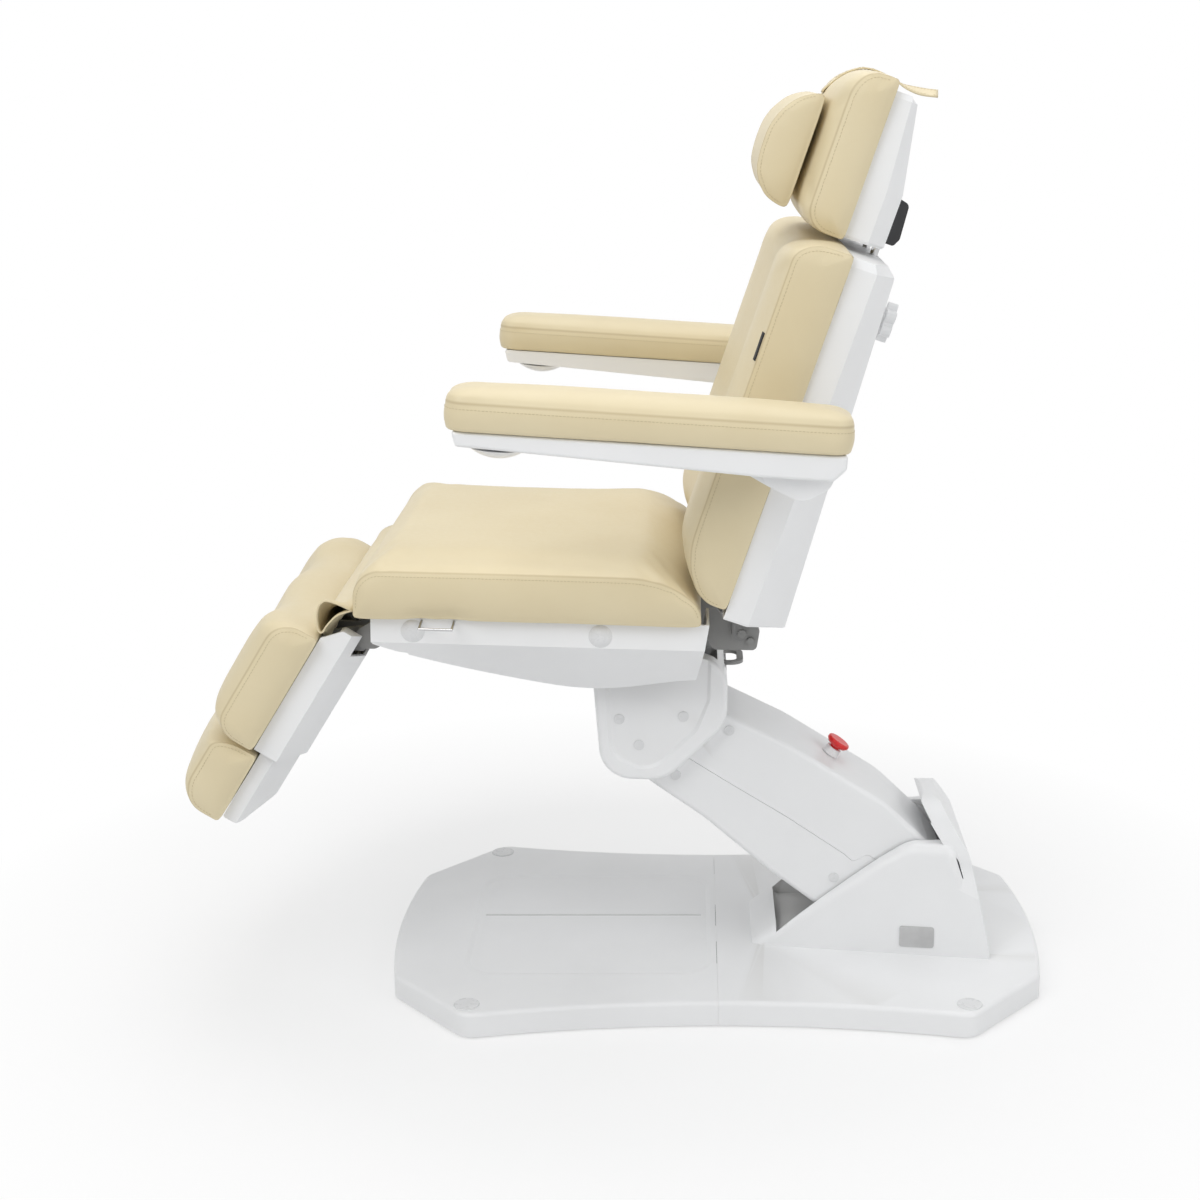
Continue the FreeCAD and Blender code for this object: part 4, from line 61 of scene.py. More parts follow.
# Upholstery
ROW_SPACING = 8.0
COLUMN_SPACING = 19.0
SEAM_COLUMNS = (0.0, 2.5, 5.0, 9.0, 15.0, 24.0, 36.0)
CHEEK_RINGS = (0.0, 2.5, 6.0, 10.0, 16.0)
CHEEK_SHARES = (0.68, 1.0)
SPINE_STEP = 3 * ROW_SPACING
STITCH_RING = 2
BASE_SHARES = (1.0, 0.75, 0.4, 0.0)
SEAM_INSET = 6.0
SEAM_SINK = 0.7
START_INSET = 2.0
SWELL_LIMIT = 4.0
STITCH_PITCH = 5.0
STITCH_LENGTH = 3.6
STITCH_RADIUS = 0.5
STITCH_FLATNESS = 0.8
STITCH_LIFT = 0.15
FAR_FROM_SEAM = 99.0
BASE_END_RUN = 40.0
SWELL_FRAMES = 20

# Places that more than one piece uses
LOOP_ENDS = (361.0, 407.0)
BACK_HALF = 284.0
BACK_SEAM = 130.0

# Camera of the photograph
CAMERA_PLACE = (99.5, -2853.0, 1383.0)
CAMERA_PITCH = 15.586
CAMERA_LENS = 57.0
CAMERA_SENSOR = 36.0
CAMERA_SHIFT = -0.075


class Side:
    """Side-view frame: u runs along a member, w stands off it, y goes across the chair."""

    def __init__(self, x, z, angle, flip=False):
        turn = math.radians(angle)
        sign = -1.0 if flip else 1.0
        self.zero = np.array((x + ORIGIN_SHIFT, 0.0, z - FLOOR_LEVEL))
        self.along = np.array((math.cos(turn), 0.0, math.sin(turn)))
        self.off = np.array((-math.sin(turn) * sign, 0.0, math.cos(turn) * sign))

    def place(self, points):
        """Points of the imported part's frame, in metres, from (u, w, y) in millimetres."""
        flat = np.asarray(points, float).reshape(-1, 3)
        spread = np.outer(flat[:, 0], self.along) + np.outer(flat[:, 1], self.off)
        spread[:, 1] += flat[:, 2]
        return (self.zero + spread) * MM


WORLD = Side(0.0, 0.0, 0.0)
SEAT = Side(-16.0, 632.0, 178.3, flip=True)
BACK = Side(36.0, 577.0, 71.0)
LEG = Side(-512.0, 596.0, 238.0, flip=True)
REST = Side(110.19, 884.61, 176.3, flip=True)


# Lines and meshes

def resample(points, spacing):
    """The same open line with evenly spaced points."""
    line = np.asarray(points, float)
    steps = np.linalg.norm(np.diff(line, axis=0), axis=1)
    along = np.concatenate([[0.0], np.cumsum(steps)])
    count = max(3, int(round(along[-1] / spacing)) + 1)
    wanted = np.linspace(0.0, along[-1], count)
    return np.stack([np.interp(wanted, along, line[:, i]) for i in range(line.shape[1])], axis=1)


def smooth_line(points, spacing):
    """Evenly spaced points on a soft curve through the given ones."""
    samples = 12
    line = [np.asarray(p, float) for p in points]
    line = [2 * line[0] - line[1]] + line + [2 * line[-1] - line[-2]]
    dense = []
    for i in range(1, len(line) - 2):
        before, here, there, after = line[i - 1:i + 3]
        for t in np.linspace(0.0, 1.0, samples, endpoint=False):
            dense.append(0.5 * (2 * here + (there - before) * t
                                + (2 * before - 5 * here + 4 * there - after) * t ** 2
                                + (3 * here - before - 3 * there + after) * t ** 3))
    dense.append(line[-2])
    return resample(dense, spacing)


def rise(share):
    """Smooth step from 0 to 1."""
    t = np.clip(share, 0.0, 1.0)
    return t * t * (3 - 2 * t)


def grid_faces(rows, columns, first=0):
    """Quads of a grid whose points are stored row by row."""
    faces = []
    for i in range(rows - 1):
        for j in range(columns - 1):
            a = first + i * columns + j
            faces.append((a, a + 1, a + columns + 1, a + columns))
    return faces


def weld(points, faces):
    """Merges points that lie on each other. Returns points, faces and the new number of every old point."""
    nearness = 1e-6
    keys = np.round(np.asarray(points) / nearness).astype(np.int64)
    _, first, number = np.unique(keys, axis=0, return_index=True, return_inverse=True)
    number = number.reshape(-1)
    kept = []
    for face in faces:
        ring = [int(number[i]) for i in face]
        ring = [p for i, p in enumerate(ring) if p != ring[i - 1]]
        if len(set(ring)) == len(ring) and len(ring) >= 3:
            kept.append(ring)
    return np.asarray(points)[first], kept, number


def add_mesh(name, points, faces):
    """New mesh object in the scene, with its faces turned outwards."""
    mesh = bpy.data.meshes.new(name)
    mesh.from_pydata([tuple(p) for p in points], [], faces)
    shaped = bmesh.new()
    shaped.from_mesh(mesh)
    bmesh.ops.recalc_face_normals(shaped, faces=shaped.faces)
    shaped.to_mesh(mesh)
    shaped.free()
    mesh.shade_smooth()
    piece = bpy.data.objects.new(name, mesh)
    bpy.context.scene.collection.objects.link(piece)
    return piece


def point_rows(mesh, kind):
    """One row of three numbers per point: "co" for its place, "normal" for its facing."""
    flat = np.zeros(len(mesh.vertices) * 3)
    mesh.vertices.foreach_get(kind, flat)
    return flat.reshape(-1, 3)


def move_points(mesh, points):
    """Sets every point of a mesh to a new place."""
    mesh.vertices.foreach_set("co", np.asarray(points, np.float32).ravel())
    mesh.update()


def keep_values(mesh, name, values):
    """Stores one number per point for the materials."""
    attribute = mesh.attributes.new(name, "FLOAT", "POINT")
    attribute.data.foreach_set("value", np.asarray(values, np.float32))


def bake_modifiers(piece):
    """Replaces the mesh by what its modifiers make of it."""
    depsgraph = bpy.context.evaluated_depsgraph_get()
    made = bpy.data.meshes.new_from_object(piece.evaluated_get(depsgraph), preserve_all_data_layers=True,
                                           depsgraph=depsgraph)
    piece.modifiers.clear()
    made.name = piece.name
    piece.data = made
    made.shade_smooth()


def subdivide(piece):
    """One applied level of subdivision."""
    step = piece.modifiers.new("subdivision", "SUBSURF")
    step.levels = 1
    step.render_levels = 1
    bpy.context.view_layer.update()
    bake_modifiers(piece)


# Upholstery

def rolled_outline(start, end, low, seam, start_round, end_round, start_nose=0.42, end_nose=0.42):
    """Side outline of a cushion from its foot at the start, over the top, to its foot at the end.

    A nose is the share of the height up to which the cushion's end stands straight.
    """
    height = seam - low
    arc_points = 14
    line = [(start, low)]
    for turn in np.linspace(0.0, math.pi / 2, arc_points):
        share = start_nose + (1 - start_nose) * math.sin(turn)
        line.append((start + start_round * (1 - math.cos(turn)), low + height * share))
    for turn in np.linspace(math.pi / 2, 0.0, arc_points):
        share = end_nose + (1 - end_nose) * math.sin(turn)
        line.append((end - end_round * (1 - math.cos(turn)), low + height * share))
    line.append((end, low))
    return resample(line, ROW_SPACING)


def stepped(places, first):
    """Places moved to the nearest of evenly spaced points, so that lines from two sides meet in them."""
    return first + SPINE_STEP * np.round((places - first) / SPINE_STEP)


def column_shares(half):
    """Places across a panel from one seam (1) to the other (-1), closer together near the seams."""
    edge = [1 - d / half for d in SEAM_COLUMNS]
    count = int(math.ceil((half - SEAM_COLUMNS[-1]) / COLUMN_SPACING)) + 1
    shares = edge + list(np.linspace(edge[-1], 0.0, count)[1:])
    return np.array(shares + [-t for t in reversed(shares[:-1])])


def sewn_cover(name, side, points, faces, seam_distance):
    """Closed cover that knows how far each point is from a seam, and the new number of every given point."""
    placed, kept, number = weld(side.place(points), faces)
    distance = np.full(len(placed), FAR_FROM_SEAM)
    np.minimum.at(distance, number, np.array(seam_distance))
    piece = add_mesh(name, placed, kept)
    keep_values(piece.data, "seam_mm", distance)
    return piece, number


def ring_faces(first, rings, count):
    """Quads between closed rings of points that are stored ring by ring."""
    faces = []
    for k in range(rings - 1):
        a, b = first + k * count, first + (k + 1) * count
        for p in range(count):
            after = (p + 1) % count
            faces.append((a + p, a + after, b + after, b + p))
    return faces


class Cover:
    """Cushion cover in the making: a panel wrapped over it lengthwise, a flat base and two side cheeks.

    The sides draw in between the corners, and the ends tuck in towards the base.
    """

    def __init__(self, outline, half, low, seam, draw, tuck):
        self.u, self.w = np.asarray(outline).T
        self.half, self.low, self.height = half, low, seam - low
        self.draw, self.tuck = draw, tuck
        self.start, self.end = self.u[0], self.u[-1]
        self.shares = column_shares(half)
        self.level = np.clip((self.w - low) / self.height, 0.0, 1.0)
        self.nose = self.nose_levels()
        self.edge = self.drawn_in(self.u) - tuck * (1 - np.maximum(self.level, self.nose)) - SEAM_INSET
        self.base_u, self.base_half = self.base_edge()
        self.points, self.seam_distance, self.faces = [], [], []

    def nose_levels(self):
        """Level up to which the nearer end stands straight, for every point of the outline."""
        upright = 0.5
        first = self.level[self.u < self.start + upright].max()
        last = self.level[self.u > self.end - upright].max()
        return np.where(self.u < (self.start + self.end) / 2, first, last)

    def share_along(self, u):
        """Place along the cushion from 0 at its start to 1 at its end."""
        return (u - self.start) / (self.end - self.start)

    def from_end(self, u):
        """Distance to the nearer end."""
        return np.minimum(u - self.start, self.end - u)

    def drawn_in(self, u):
        """Half width at a place along the cushion."""
        return self.half - self.draw * np.sin(np.pi * self.share_along(u))

    def add_panel(self, lift_of, face_bulge):
        """Panel from foot to foot, bulged a little on its end faces.

        It is added first, and returns the numbers of its points on the two seams.
        """
        face_run, least_nose = 6.0, 0.05
        on_face = np.clip(1 - self.from_end(self.u) / face_run, 0.0, 1.0)
        arch = np.sin(np.pi * np.clip(self.level / np.maximum(self.nose, least_nose), 0.0, 1.0))
        outward = np.where(self.share_along(self.u) < 0.5, -1.0, 1.0)
        bulge = face_bulge * on_face * arch * outward
        lift = lift_of(np.abs(self.shares))
        for i, u in enumerate(self.u):
            for j, share in enumerate(self.shares):
                puff = bulge[i] * (1 - share ** 2)
                self.points.append((u + puff, self.w[i] + lift[j] * self.level[i], share * self.edge[i]))
                self.seam_distance.append((1 - abs(share)) * self.half)
        rows, columns = len(self.u), len(self.shares)
        self.faces += grid_faces(rows, columns)
        return [i * columns + j for i in range(rows) for j in (0, columns - 1)]

    def base_edge(self):
        """Places along the base, and its half width at each, which meets the panel's feet at both ends."""
        least_rows = 4
        rows = max(least_rows, int((self.end - self.start) / (2 * ROW_SPACING)))
        u = np.linspace(self.start, self.end, rows)
        corner = np.where(self.share_along(u) < 0.5, self.edge[0], self.edge[-1])
        middle = self.drawn_in(u) - self.tuck
        return u, corner + (middle - corner) * rise(self.from_end(u) / BASE_END_RUN)

    def add_base(self):
        """Flat base. Returns the numbers of its points."""
        first = len(self.points)
        for u, reach in zip(self.base_u, self.base_half):
            for share in self.shares:
                self.points.append((u, self.low, share * reach))
                self.seam_distance.append(FAR_FROM_SEAM)
        self.faces += grid_faces(len(self.base_u), len(self.shares), first)
        return list(range(first, len(self.points)))

    def border(self):
        """Closed edge of a cheek, over the panel and back along the base: u, w, half width, 1 on the seam."""
        over = [(u, w, half, 1.0) for u, w, half in zip(self.u, self.w, self.edge)]
        under = [(u, self.low, half, 0.0) for u, half in zip(self.base_u, self.base_half)]
        return np.array(over + under[-2:0:-1])

    def add_cheek(self, hand):
        """Cheek as rings from its border in to a middle line, where the rings' two sides share points.

        Returns the numbers of the points along which it is topstitched.
        """
        border = self.border()
        count = len(border)
        spine_low = self.start + self.height / 2
        spine_high = max(self.end - self.height / 2, spine_low + 1.0)
        spine_u = stepped(np.clip(border[:, 0], spine_low, spine_high), spine_low)
        spine_y = self.drawn_in(spine_u)
        spine = np.stack([spine_u, np.full(count, self.low + self.height / 2)], axis=1)
        reach = np.linalg.norm(spine - border[:, :2], axis=1)
        rings = [np.minimum(distance / reach, 0.5) for distance in CHEEK_RINGS]
        rings += [np.full(count, share) for share in CHEEK_SHARES]
        first = len(self.points)
        for share in rings:
            flat = border[:, :2] + (spine - border[:, :2]) * share[:, None]
            out = border[:, 2] + (spine_y - border[:, 2]) * (1 - (1 - share) ** 2)
            for p in range(count):
                self.points.append((flat[p, 0], flat[p, 1], hand * out[p]))
                self.seam_distance.append(share[p] * reach[p] if border[p, 3] > 0 else FAR_FROM_SEAM)
        self.faces += ring_faces(first, len(rings), count)
        sewn = first + STITCH_RING * count
        return list(range(sewn + 1, sewn + len(self.u) - 1))


def upholster(name, side, outline, half, low, seam, lift_of, draw=4.0, tuck=12.0, face_bulge=2.0):
    """Closed cushion. Returns its mesh object, the numbers of its held points and its two stitched lines."""
    cover = Cover(outline, half, low, seam, draw, tuck)
    fixed = cover.add_panel(lift_of, face_bulge) + cover.add_base()
    stitched = [cover.add_cheek(hand) for hand in (1.0, -1.0)]
    piece, number = sewn_cover(name, side, cover.points, cover.faces, cover.seam_distance)
    held = sorted({int(number[i]) for i in fixed})
    lines = [[int(number[i]) for i in line] for line in stitched]
    return piece, held, lines


def swell(piece, held):
    """Blows the cover up against its held seams with a short cloth simulation."""
    mesh = piece.data
    free = np.ones(len(mesh.vertices))
    free[held] = 0.0
    move_points(mesh, point_rows(mesh, "co") - point_rows(mesh, "normal") * free[:, None] * START_INSET * MM)
    rest = point_rows(mesh, "co")
    group = piece.vertex_groups.new(name="held")
    group.add(held, 1.0, "REPLACE")
    cloth = piece.modifiers.new("cloth", "CLOTH")
    settings = cloth.settings
    settings.quality = 4
    settings.mass = 0.35
    settings.tension_stiffness = 14.0
    settings.compression_stiffness = 14.0
    settings.shear_stiffness = 6.0
    settings.bending_stiffness = 1.2
    settings.vertex_group_mass = "held"
    settings.use_pressure = True
    settings.uniform_pressure_force = 4.0
    settings.effector_weights.gravity = 0.0
    cloth.point_cache.frame_start = 1
    cloth.point_cache.frame_end = SWELL_FRAMES
    scene = bpy.context.scene
    for number in range(1, SWELL_FRAMES + 1):
        scene.frame_set(number)
    posed = piece.evaluated_get(bpy.context.evaluated_depsgraph_get())
    move = point_rows(posed.to_mesh(), "co") - rest
    posed.to_mesh_clear()
    piece.modifiers.remove(cloth)
    piece.vertex_groups.remove(group)
    scene.frame_set(1)
    length = np.linalg.norm(move, axis=1)
    limit = SWELL_LIMIT * MM
    move *= (np.minimum(length, limit) / np.maximum(length, 1e-9))[:, None]
    move_points(mesh, rest + move)


def settle(piece, wave):
    """Sinks the seams and lays the slack of a worn cover over the surface."""
    seam_width, slack_run, pucker_run, pucker = 2.0, 10.0, 11.0, 0.5
    long_wave, short_wave, pucker_wave = 8.0, 19.0, 62.0
    mesh = piece.data
    points = point_rows(mesh, "co")
    facing = point_rows(mesh, "normal")
    distance = np.zeros(len(points))
    mesh.attributes["seam_mm"].data.foreach_get("value", distance)
    shift = -SEAM_SINK * np.exp(-(distance / seam_width) ** 2)
    for i, p in enumerate(points):
        here = Vector(p)
        slack = noise.noise(here * long_wave) + 0.5 * noise.noise(here * short_wave)
        pull = noise.noise(here * pucker_wave) * math.exp(-distance[i] / pucker_run)
        shift[i] += wave * slack * min(1.0, distance[i] / slack_run) + pucker * pull
    move_points(mesh, points + facing * shift[:, None] * MM)


def surface_tree(piece):
    """Faces of a piece, ready to be asked for the point nearest to a place."""
    mesh = piece.data
    return BVHTree.FromPolygons([v.co for v in mesh.vertices], [tuple(p.vertices) for p in mesh.polygons])


def capsule():
    """Points and faces of one stitch along X, one unit long on each side."""
    rings = ((-1.0, 0.25), (-0.8, 0.8), (-0.3, 1.0), (0.3, 1.0), (0.8, 0.8), (1.0, 0.25))
    sides = 6
    points = []
    for x, radius in rings:
        for k in range(sides):
            turn = 2 * math.pi * k / sides
            points.append((x, radius * math.cos(turn), radius * math.sin(turn)))
    faces = ring_faces(0, len(rings), sides)
    faces.append(tuple(range(sides - 1, -1, -1)))
    faces.append(tuple(range((len(rings) - 1) * sides, len(rings) * sides)))
    return np.array(points), faces


def stitching(name, piece, lines, body):
    """Rows of thread lying on a piece along the given lines of points, in metres."""
    tree = surface_tree(piece)
    shape, shape_faces = capsule()
    scale = np.array((STITCH_LENGTH / 2, STITCH_RADIUS, STITCH_RADIUS * STITCH_FLATNESS)) * MM
    points, faces = [], []
    for line in lines:
        places = resample(line, STITCH_PITCH * MM)
        for i in range(1, len(places) - 1):
            centre, facing, _, _ = tree.find_nearest(Vector(places[i]))
            ahead, _, _, _ = tree.find_nearest(Vector(places[i + 1]))
            tangent = ahead - centre
            tangent = (tangent - facing * tangent.dot(facing)).normalized()
            across = facing.cross(tangent)
            turn = np.array((tangent, across, facing))
            first = len(points)
            points += list((shape * scale) @ turn + np.array(centre + facing * (STITCH_LIFT * MM)))
            faces += [tuple(first + k for k in face) for face in shape_faces]
    sewn = add_mesh(name, points, faces)
    dress(sewn, THREAD)
    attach(sewn, body)


def dress(piece, material):
    """Gives a piece one material in place of any it has."""
    piece.data.materials.clear()
    piece.data.materials.append(material)


def finish_cushion(made, body, node, wave=0.7):
    """Swells, settles, dresses and stitches one upholstered piece, and puts it in place of its solid."""
    piece, held, lines = made
    swell(piece, held)
    settle(piece, wave)
    drawn = point_rows(piece.data, "co")
    sewn = [drawn[line] for line in lines]
    subdivide(piece)
    dress(piece, VINYL)
    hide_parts(node)
    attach(piece, body)
    stitching(piece.name + "_stitching", piece, sewn, body)
    return piece


def through(places):
    """Function of the distance from the middle that runs smoothly through (place, height) pairs."""
    knots = sorted(places)

    def height(t):
        value = np.full_like(t, knots[-1][1], dtype=float)
        for (a, low), (b, high) in zip(knots, knots[1:]):
            inside = (t >= a) & (t <= b)
            value[inside] = low + (high - low) * rise((t[inside] - a) / (b - a))
        return value

    return height


def crowned(crown, power=3.4):
    """Function of the distance from the middle for a plain crown."""
    return lambda t: crown * (1 - t ** power)


def rolled_edge(half, run, height, middle):
    """Panel that rolls up from its seams over a short run and then follows the middle's own shape."""
    def lift(t):
        reach = np.clip((1 - t) * half / run, 0.0, 1.0)
        return height * np.sqrt(1 - (1 - reach) ** 2) + middle(t)

    return lift


def press_in(piece, side, spot, radius, depth):
    """Dents the cover towards the chair's middle, and a little upwards, round one place."""
    upward = 0.7
    mesh = piece.data
    points = point_rows(mesh, "co")
    centre = side.place([spot])[0]
    far = np.linalg.norm(points - centre, axis=1) / (radius * MM)
    push = np.exp(-far ** 2) * depth * MM
    points[:, 1] -= np.sign(spot[2]) * push
    points[:, 2] += upward * push
    move_points(mesh, points)


# Pieces

def seat_cushion():
    """Seat with a deep round at its rear end, dented where the strap loops go in."""
    half, low, seam = 292.0, 0.0, 71.0
    outline = rolled_outline(start=9.0, end=503.0, low=low, seam=seam, start_round=110.0, end_round=42.0,
                             start_nose=0.12)
    panel = rolled_edge(half, run=30.0, height=13.0, middle=crowned(6.0))
    made = upholster("seat_upholstery", SEAT, outline, half, low, seam, panel)
    for hand in (-1.0, 1.0):
        for end in LOOP_ENDS:
            press_in(made[0], SEAT, spot=(end, 3.0, hand * (half - 8.0)), radius=13.0, depth=5.0)
    finish_cushion(made, "seat", "seat_cushion")


def back_cushion():
    """Back whose middle is hollow between two long rolls."""
    half, low, seam = BACK_HALF, 50.6, BACK_SEAM
    outline = rolled_outline(start=64.0, end=590.0, low=low, seam=seam, start_round=100.0, end_round=34.0,
                             start_nose=0.2)
    rolls = through(((0.0, -11.0), (0.66, 5.0), (0.86, 4.0), (1.0, 0.0)))
    panel = rolled_edge(half, run=26.0, height=8.0, middle=rolls)
    made = upholster("back_upholstery", BACK, outline, half, low, seam, panel, face_bulge=1.0)
    return finish_cushion(made, "back", "back_cushion")


def headrest_cushion():
    """Headrest with one soft crown."""
    half, low, seam = 175.0, 61.6, 122.0
    outline = rolled_outline(start=597.0, end=828.0, low=low, seam=seam, start_round=34.0, end_round=46.0)
    panel = rolled_edge(half, run=30.0, height=12.0, middle=crowned(11.0, 2.4))
    made = upholster("headrest_upholstery", BACK, outline, half, low, seam, panel, draw=3.0, face_bulge=1.0)
    return finish_cushion(made, "headrest", "headrest_cushion")


def leg_cushion():
    """Legrest with a hollow for each calf."""
    half, low, seam = 278.0, 57.6, 122.0
    outline = rolled_outline(start=18.0, end=218.0, low=low, seam=seam, start_round=36.0, end_round=34.0)
    calves = through(((0.0, 10.0), (0.46, 1.0), (0.8, 14.0), (0.92, 9.0), (1.0, 0.0)))
    panel = rolled_edge(half, run=26.0, height=9.0, middle=calves)
    made = upholster("legrest_upholstery", LEG, outline, half, low, seam, panel, face_bulge=1.5)
    finish_cushion(made, "legrest", "legrest_cushion")


def foot_cushion():
    """Footrest with one soft crown."""
    half, low, seam = 264.0, 47.0, 114.0
    outline = rolled_outline(start=226.0, end=347.0, low=low, seam=seam, start_round=20.0, end_round=46.0)
    panel = rolled_edge(half, run=28.0, height=11.0, middle=crowned(13.0, 2.6))
    made = upholster("footrest_upholstery", LEG, outline, half, low, seam, panel, face_bulge=1.0)
    finish_cushion(made, "footrest", "footrest_cushion")


def neck_pillow():
    """Half-moon roll in front of the headrest."""
    face, depth, half = 149.0, 64.0, 140.0
    knots = [(613.0, face), (611.0, face + 10.0), (620.0, face + 38.0), (648.0, face + 59.0),
             (684.0, face + depth), (722.0, face + 60.0), (757.0, face + 40.0), (775.0, face + 12.0),
             (775.0, face)]
    outline = smooth_line(knots, ROW_SPACING)
    outline[:, 1] = np.maximum(outline[:, 1], face)
    made = upholster("neck_pillow_cover", BACK, outline, half, face, face + depth, crowned(1.5, 2.0),
                     draw=1.5, tuck=5.0, face_bulge=0.0)
    finish_cushion(made, "headrest", "neck_pillow")


def plan_outline(length, width, corner, spacing):
    """Rounded rectangle as a closed ring of points."""
    arc_points = 9
    half_l, half_w = length / 2 - corner, width / 2 - corner
    corners = ((half_l, half_w, 0.0), (-half_l, half_w, 90.0),
               (-half_l, -half_w, 180.0), (half_l, -half_w, 270.0))
    ring = []
    for x, y, begin in corners:
        for turn in np.linspace(begin, begin + 90.0, arc_points):
            a = math.radians(turn)
            ring.append((x + corner * math.cos(a), y + corner * math.sin(a)))
    ring.append(ring[0])
    return resample(ring, spacing)[:-1]


def armrest_levels(low, seam, crown, half):
    """Rings of an armrest pad from the top's middle to the base's middle, and the number of the seam's ring.

    Each is its inset from the plan outline, its level and its distance from the seam.
    """
    levels = []
    for share in (0.0, 0.3, 0.55, 0.74, 0.86, 0.92):
        inset = half * (1 - share)
        level = seam + (crown - seam) * math.sqrt(1 - share ** 2.6)
        levels.append((inset, level, inset if share > 0.5 else FAR_FROM_SEAM))
    seam_level = len(levels)
    for inset, below in ((2.8, 0.0), (1.9, 3.0), (1.1, 6.5), (0.4, 11.0), (0.0, 18.0)):
        levels.append((inset, seam - below, below))
    for inset, above in ((0.8, 12.0), (3.0, 4.0)):
        levels.append((inset, low + above, FAR_FROM_SEAM))
    base_inset = 6.0
    for share in BASE_SHARES:
        levels.append((base_inset + (half - base_inset) * (1 - share), low, FAR_FROM_SEAM))
    return levels, seam_level


def armrest_pad(hand, name):
    """Long pad with a top panel and a side band that goes all the way round."""
    tail, nose, inner, width, corner = -63.0, 480.0, 323.0, 105.0, 30.0
    half = width / 2
    middle_u, middle_y = (tail + nose) / 2, hand * (inner + half)
    ring = plan_outline(nose - tail, width, corner, ROW_SPACING)
    count = len(ring)
    spine = (nose - tail - width) / 2
    middles = stepped(np.clip(ring[:, 0], -spine, spine), -spine)
    centre = np.stack([middles, np.zeros(count)], axis=1)
    toward = centre - ring
    toward /= np.maximum(np.linalg.norm(toward, axis=1), 1e-6)[:, None]
    levels, seam_level = armrest_levels(low=25.6, seam=63.0, crown=84.0, half=half)
    points, distance = [], []
    for inset, level, far in levels:
        flat = centre if inset >= half - 1e-6 else ring + toward * inset
        for u, y in flat:
            points.append((middle_u + u, level, middle_y + y))
            distance.append(far)
    faces = ring_faces(0, len(levels), count)
    piece, number = sewn_cover(name + "_upholstery", REST, points, faces, distance)

    def numbers(level):
        return [int(number[level * count + p]) for p in range(count)]

    held = set(numbers(seam_level))
    for level in range(len(levels) - len(BASE_SHARES), len(levels)):
        held |= set(numbers(level))
    sewn = numbers(seam_level + STITCH_RING)
    made = (piece, sorted(held), [sewn + sewn[:2]])
    finish_cushion(made, name.replace("_pad", ""), name, wave=0.4)


def hugged(tree, side, line, gap, reach):
    """The line with every point that lies near a surface set down on it."""
    laid = []
    for place in side.place([(u, w, 0.0) for u, w in line]):
        spot, facing, _, far = tree.find_nearest(Vector(place))
        if far < reach * MM:
            place = np.array(spot + facing * (gap * MM))
        away = place / MM - side.zero
        laid.append((away @ side.along, away @ side.off))
    return np.array(laid)


def thick_sheet(name, points, rows, columns, thickness):
    """Sheet through a grid of points in metres, with thickness to both sides."""
    piece = add_mesh(name, points, grid_faces(rows, columns))
    solid = piece.modifiers.new("thickness", "SOLIDIFY")
    solid.thickness = thickness * MM
    solid.offset = 0.0
    bpy.context.view_layer.update()
    bake_modifiers(piece)
    return piece


def vinyl_sheet(name, points, rows, columns, thickness):
    """Thick sheet in the cushions' vinyl, without seams."""
    piece = thick_sheet(name, points, rows, columns, thickness)
    keep_values(piece.data, "seam_mm", np.full(len(piece.data.vertices), FAR_FROM_SEAM))
    dress(piece, VINYL)
    return piece


def pillow_strap(cushion):
    """Strap from the pillow over the headrest, with its free end turned a little behind."""
    knots = [(779.0, 151.0), (790.0, 150.0), (816.0, 139.0), (829.5, 119.0), (832.5, 90.0), (830.0, 62.0),
             (825.0, 38.0), (826.0, 12.0), (831.0, -12.0)]
    half, thickness, columns, spacing = 14.0, 2.4, 9, 6.0
    free_end, turning_run, free_turn, stitch_share = 60.0, 50.0, 20.0, 0.72
    laid = hugged(surface_tree(cushion), BACK, smooth_line(knots, spacing), gap=2.0, reach=14.0)
    line = smooth_line(laid, spacing)
    twist = math.radians(free_turn) * rise((free_end - line[:, 1]) / turning_run)

    def across(u, w, turn, share):
        """Point at a share of the strap's half width, on a row turned about the strap's line."""
        return u + share * half * math.sin(turn), w, share * half * math.cos(turn)

    points = []
    for (u, w), turn in zip(line, twist):
        points += [across(u, w, turn, share) for share in np.linspace(-1.0, 1.0, columns)]
    strap = vinyl_sheet("strap_webbing", BACK.place(points), len(line), columns, thickness)
    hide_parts("pillow_strap")
    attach(strap, "headrest")
    rows = []
    for share in (-stitch_share, stitch_share):
        rows.append(BACK.place([across(u, w, turn, share) for (u, w), turn in zip(line, twist)]))
    stitching("strap_stitching", strap, rows, "headrest")


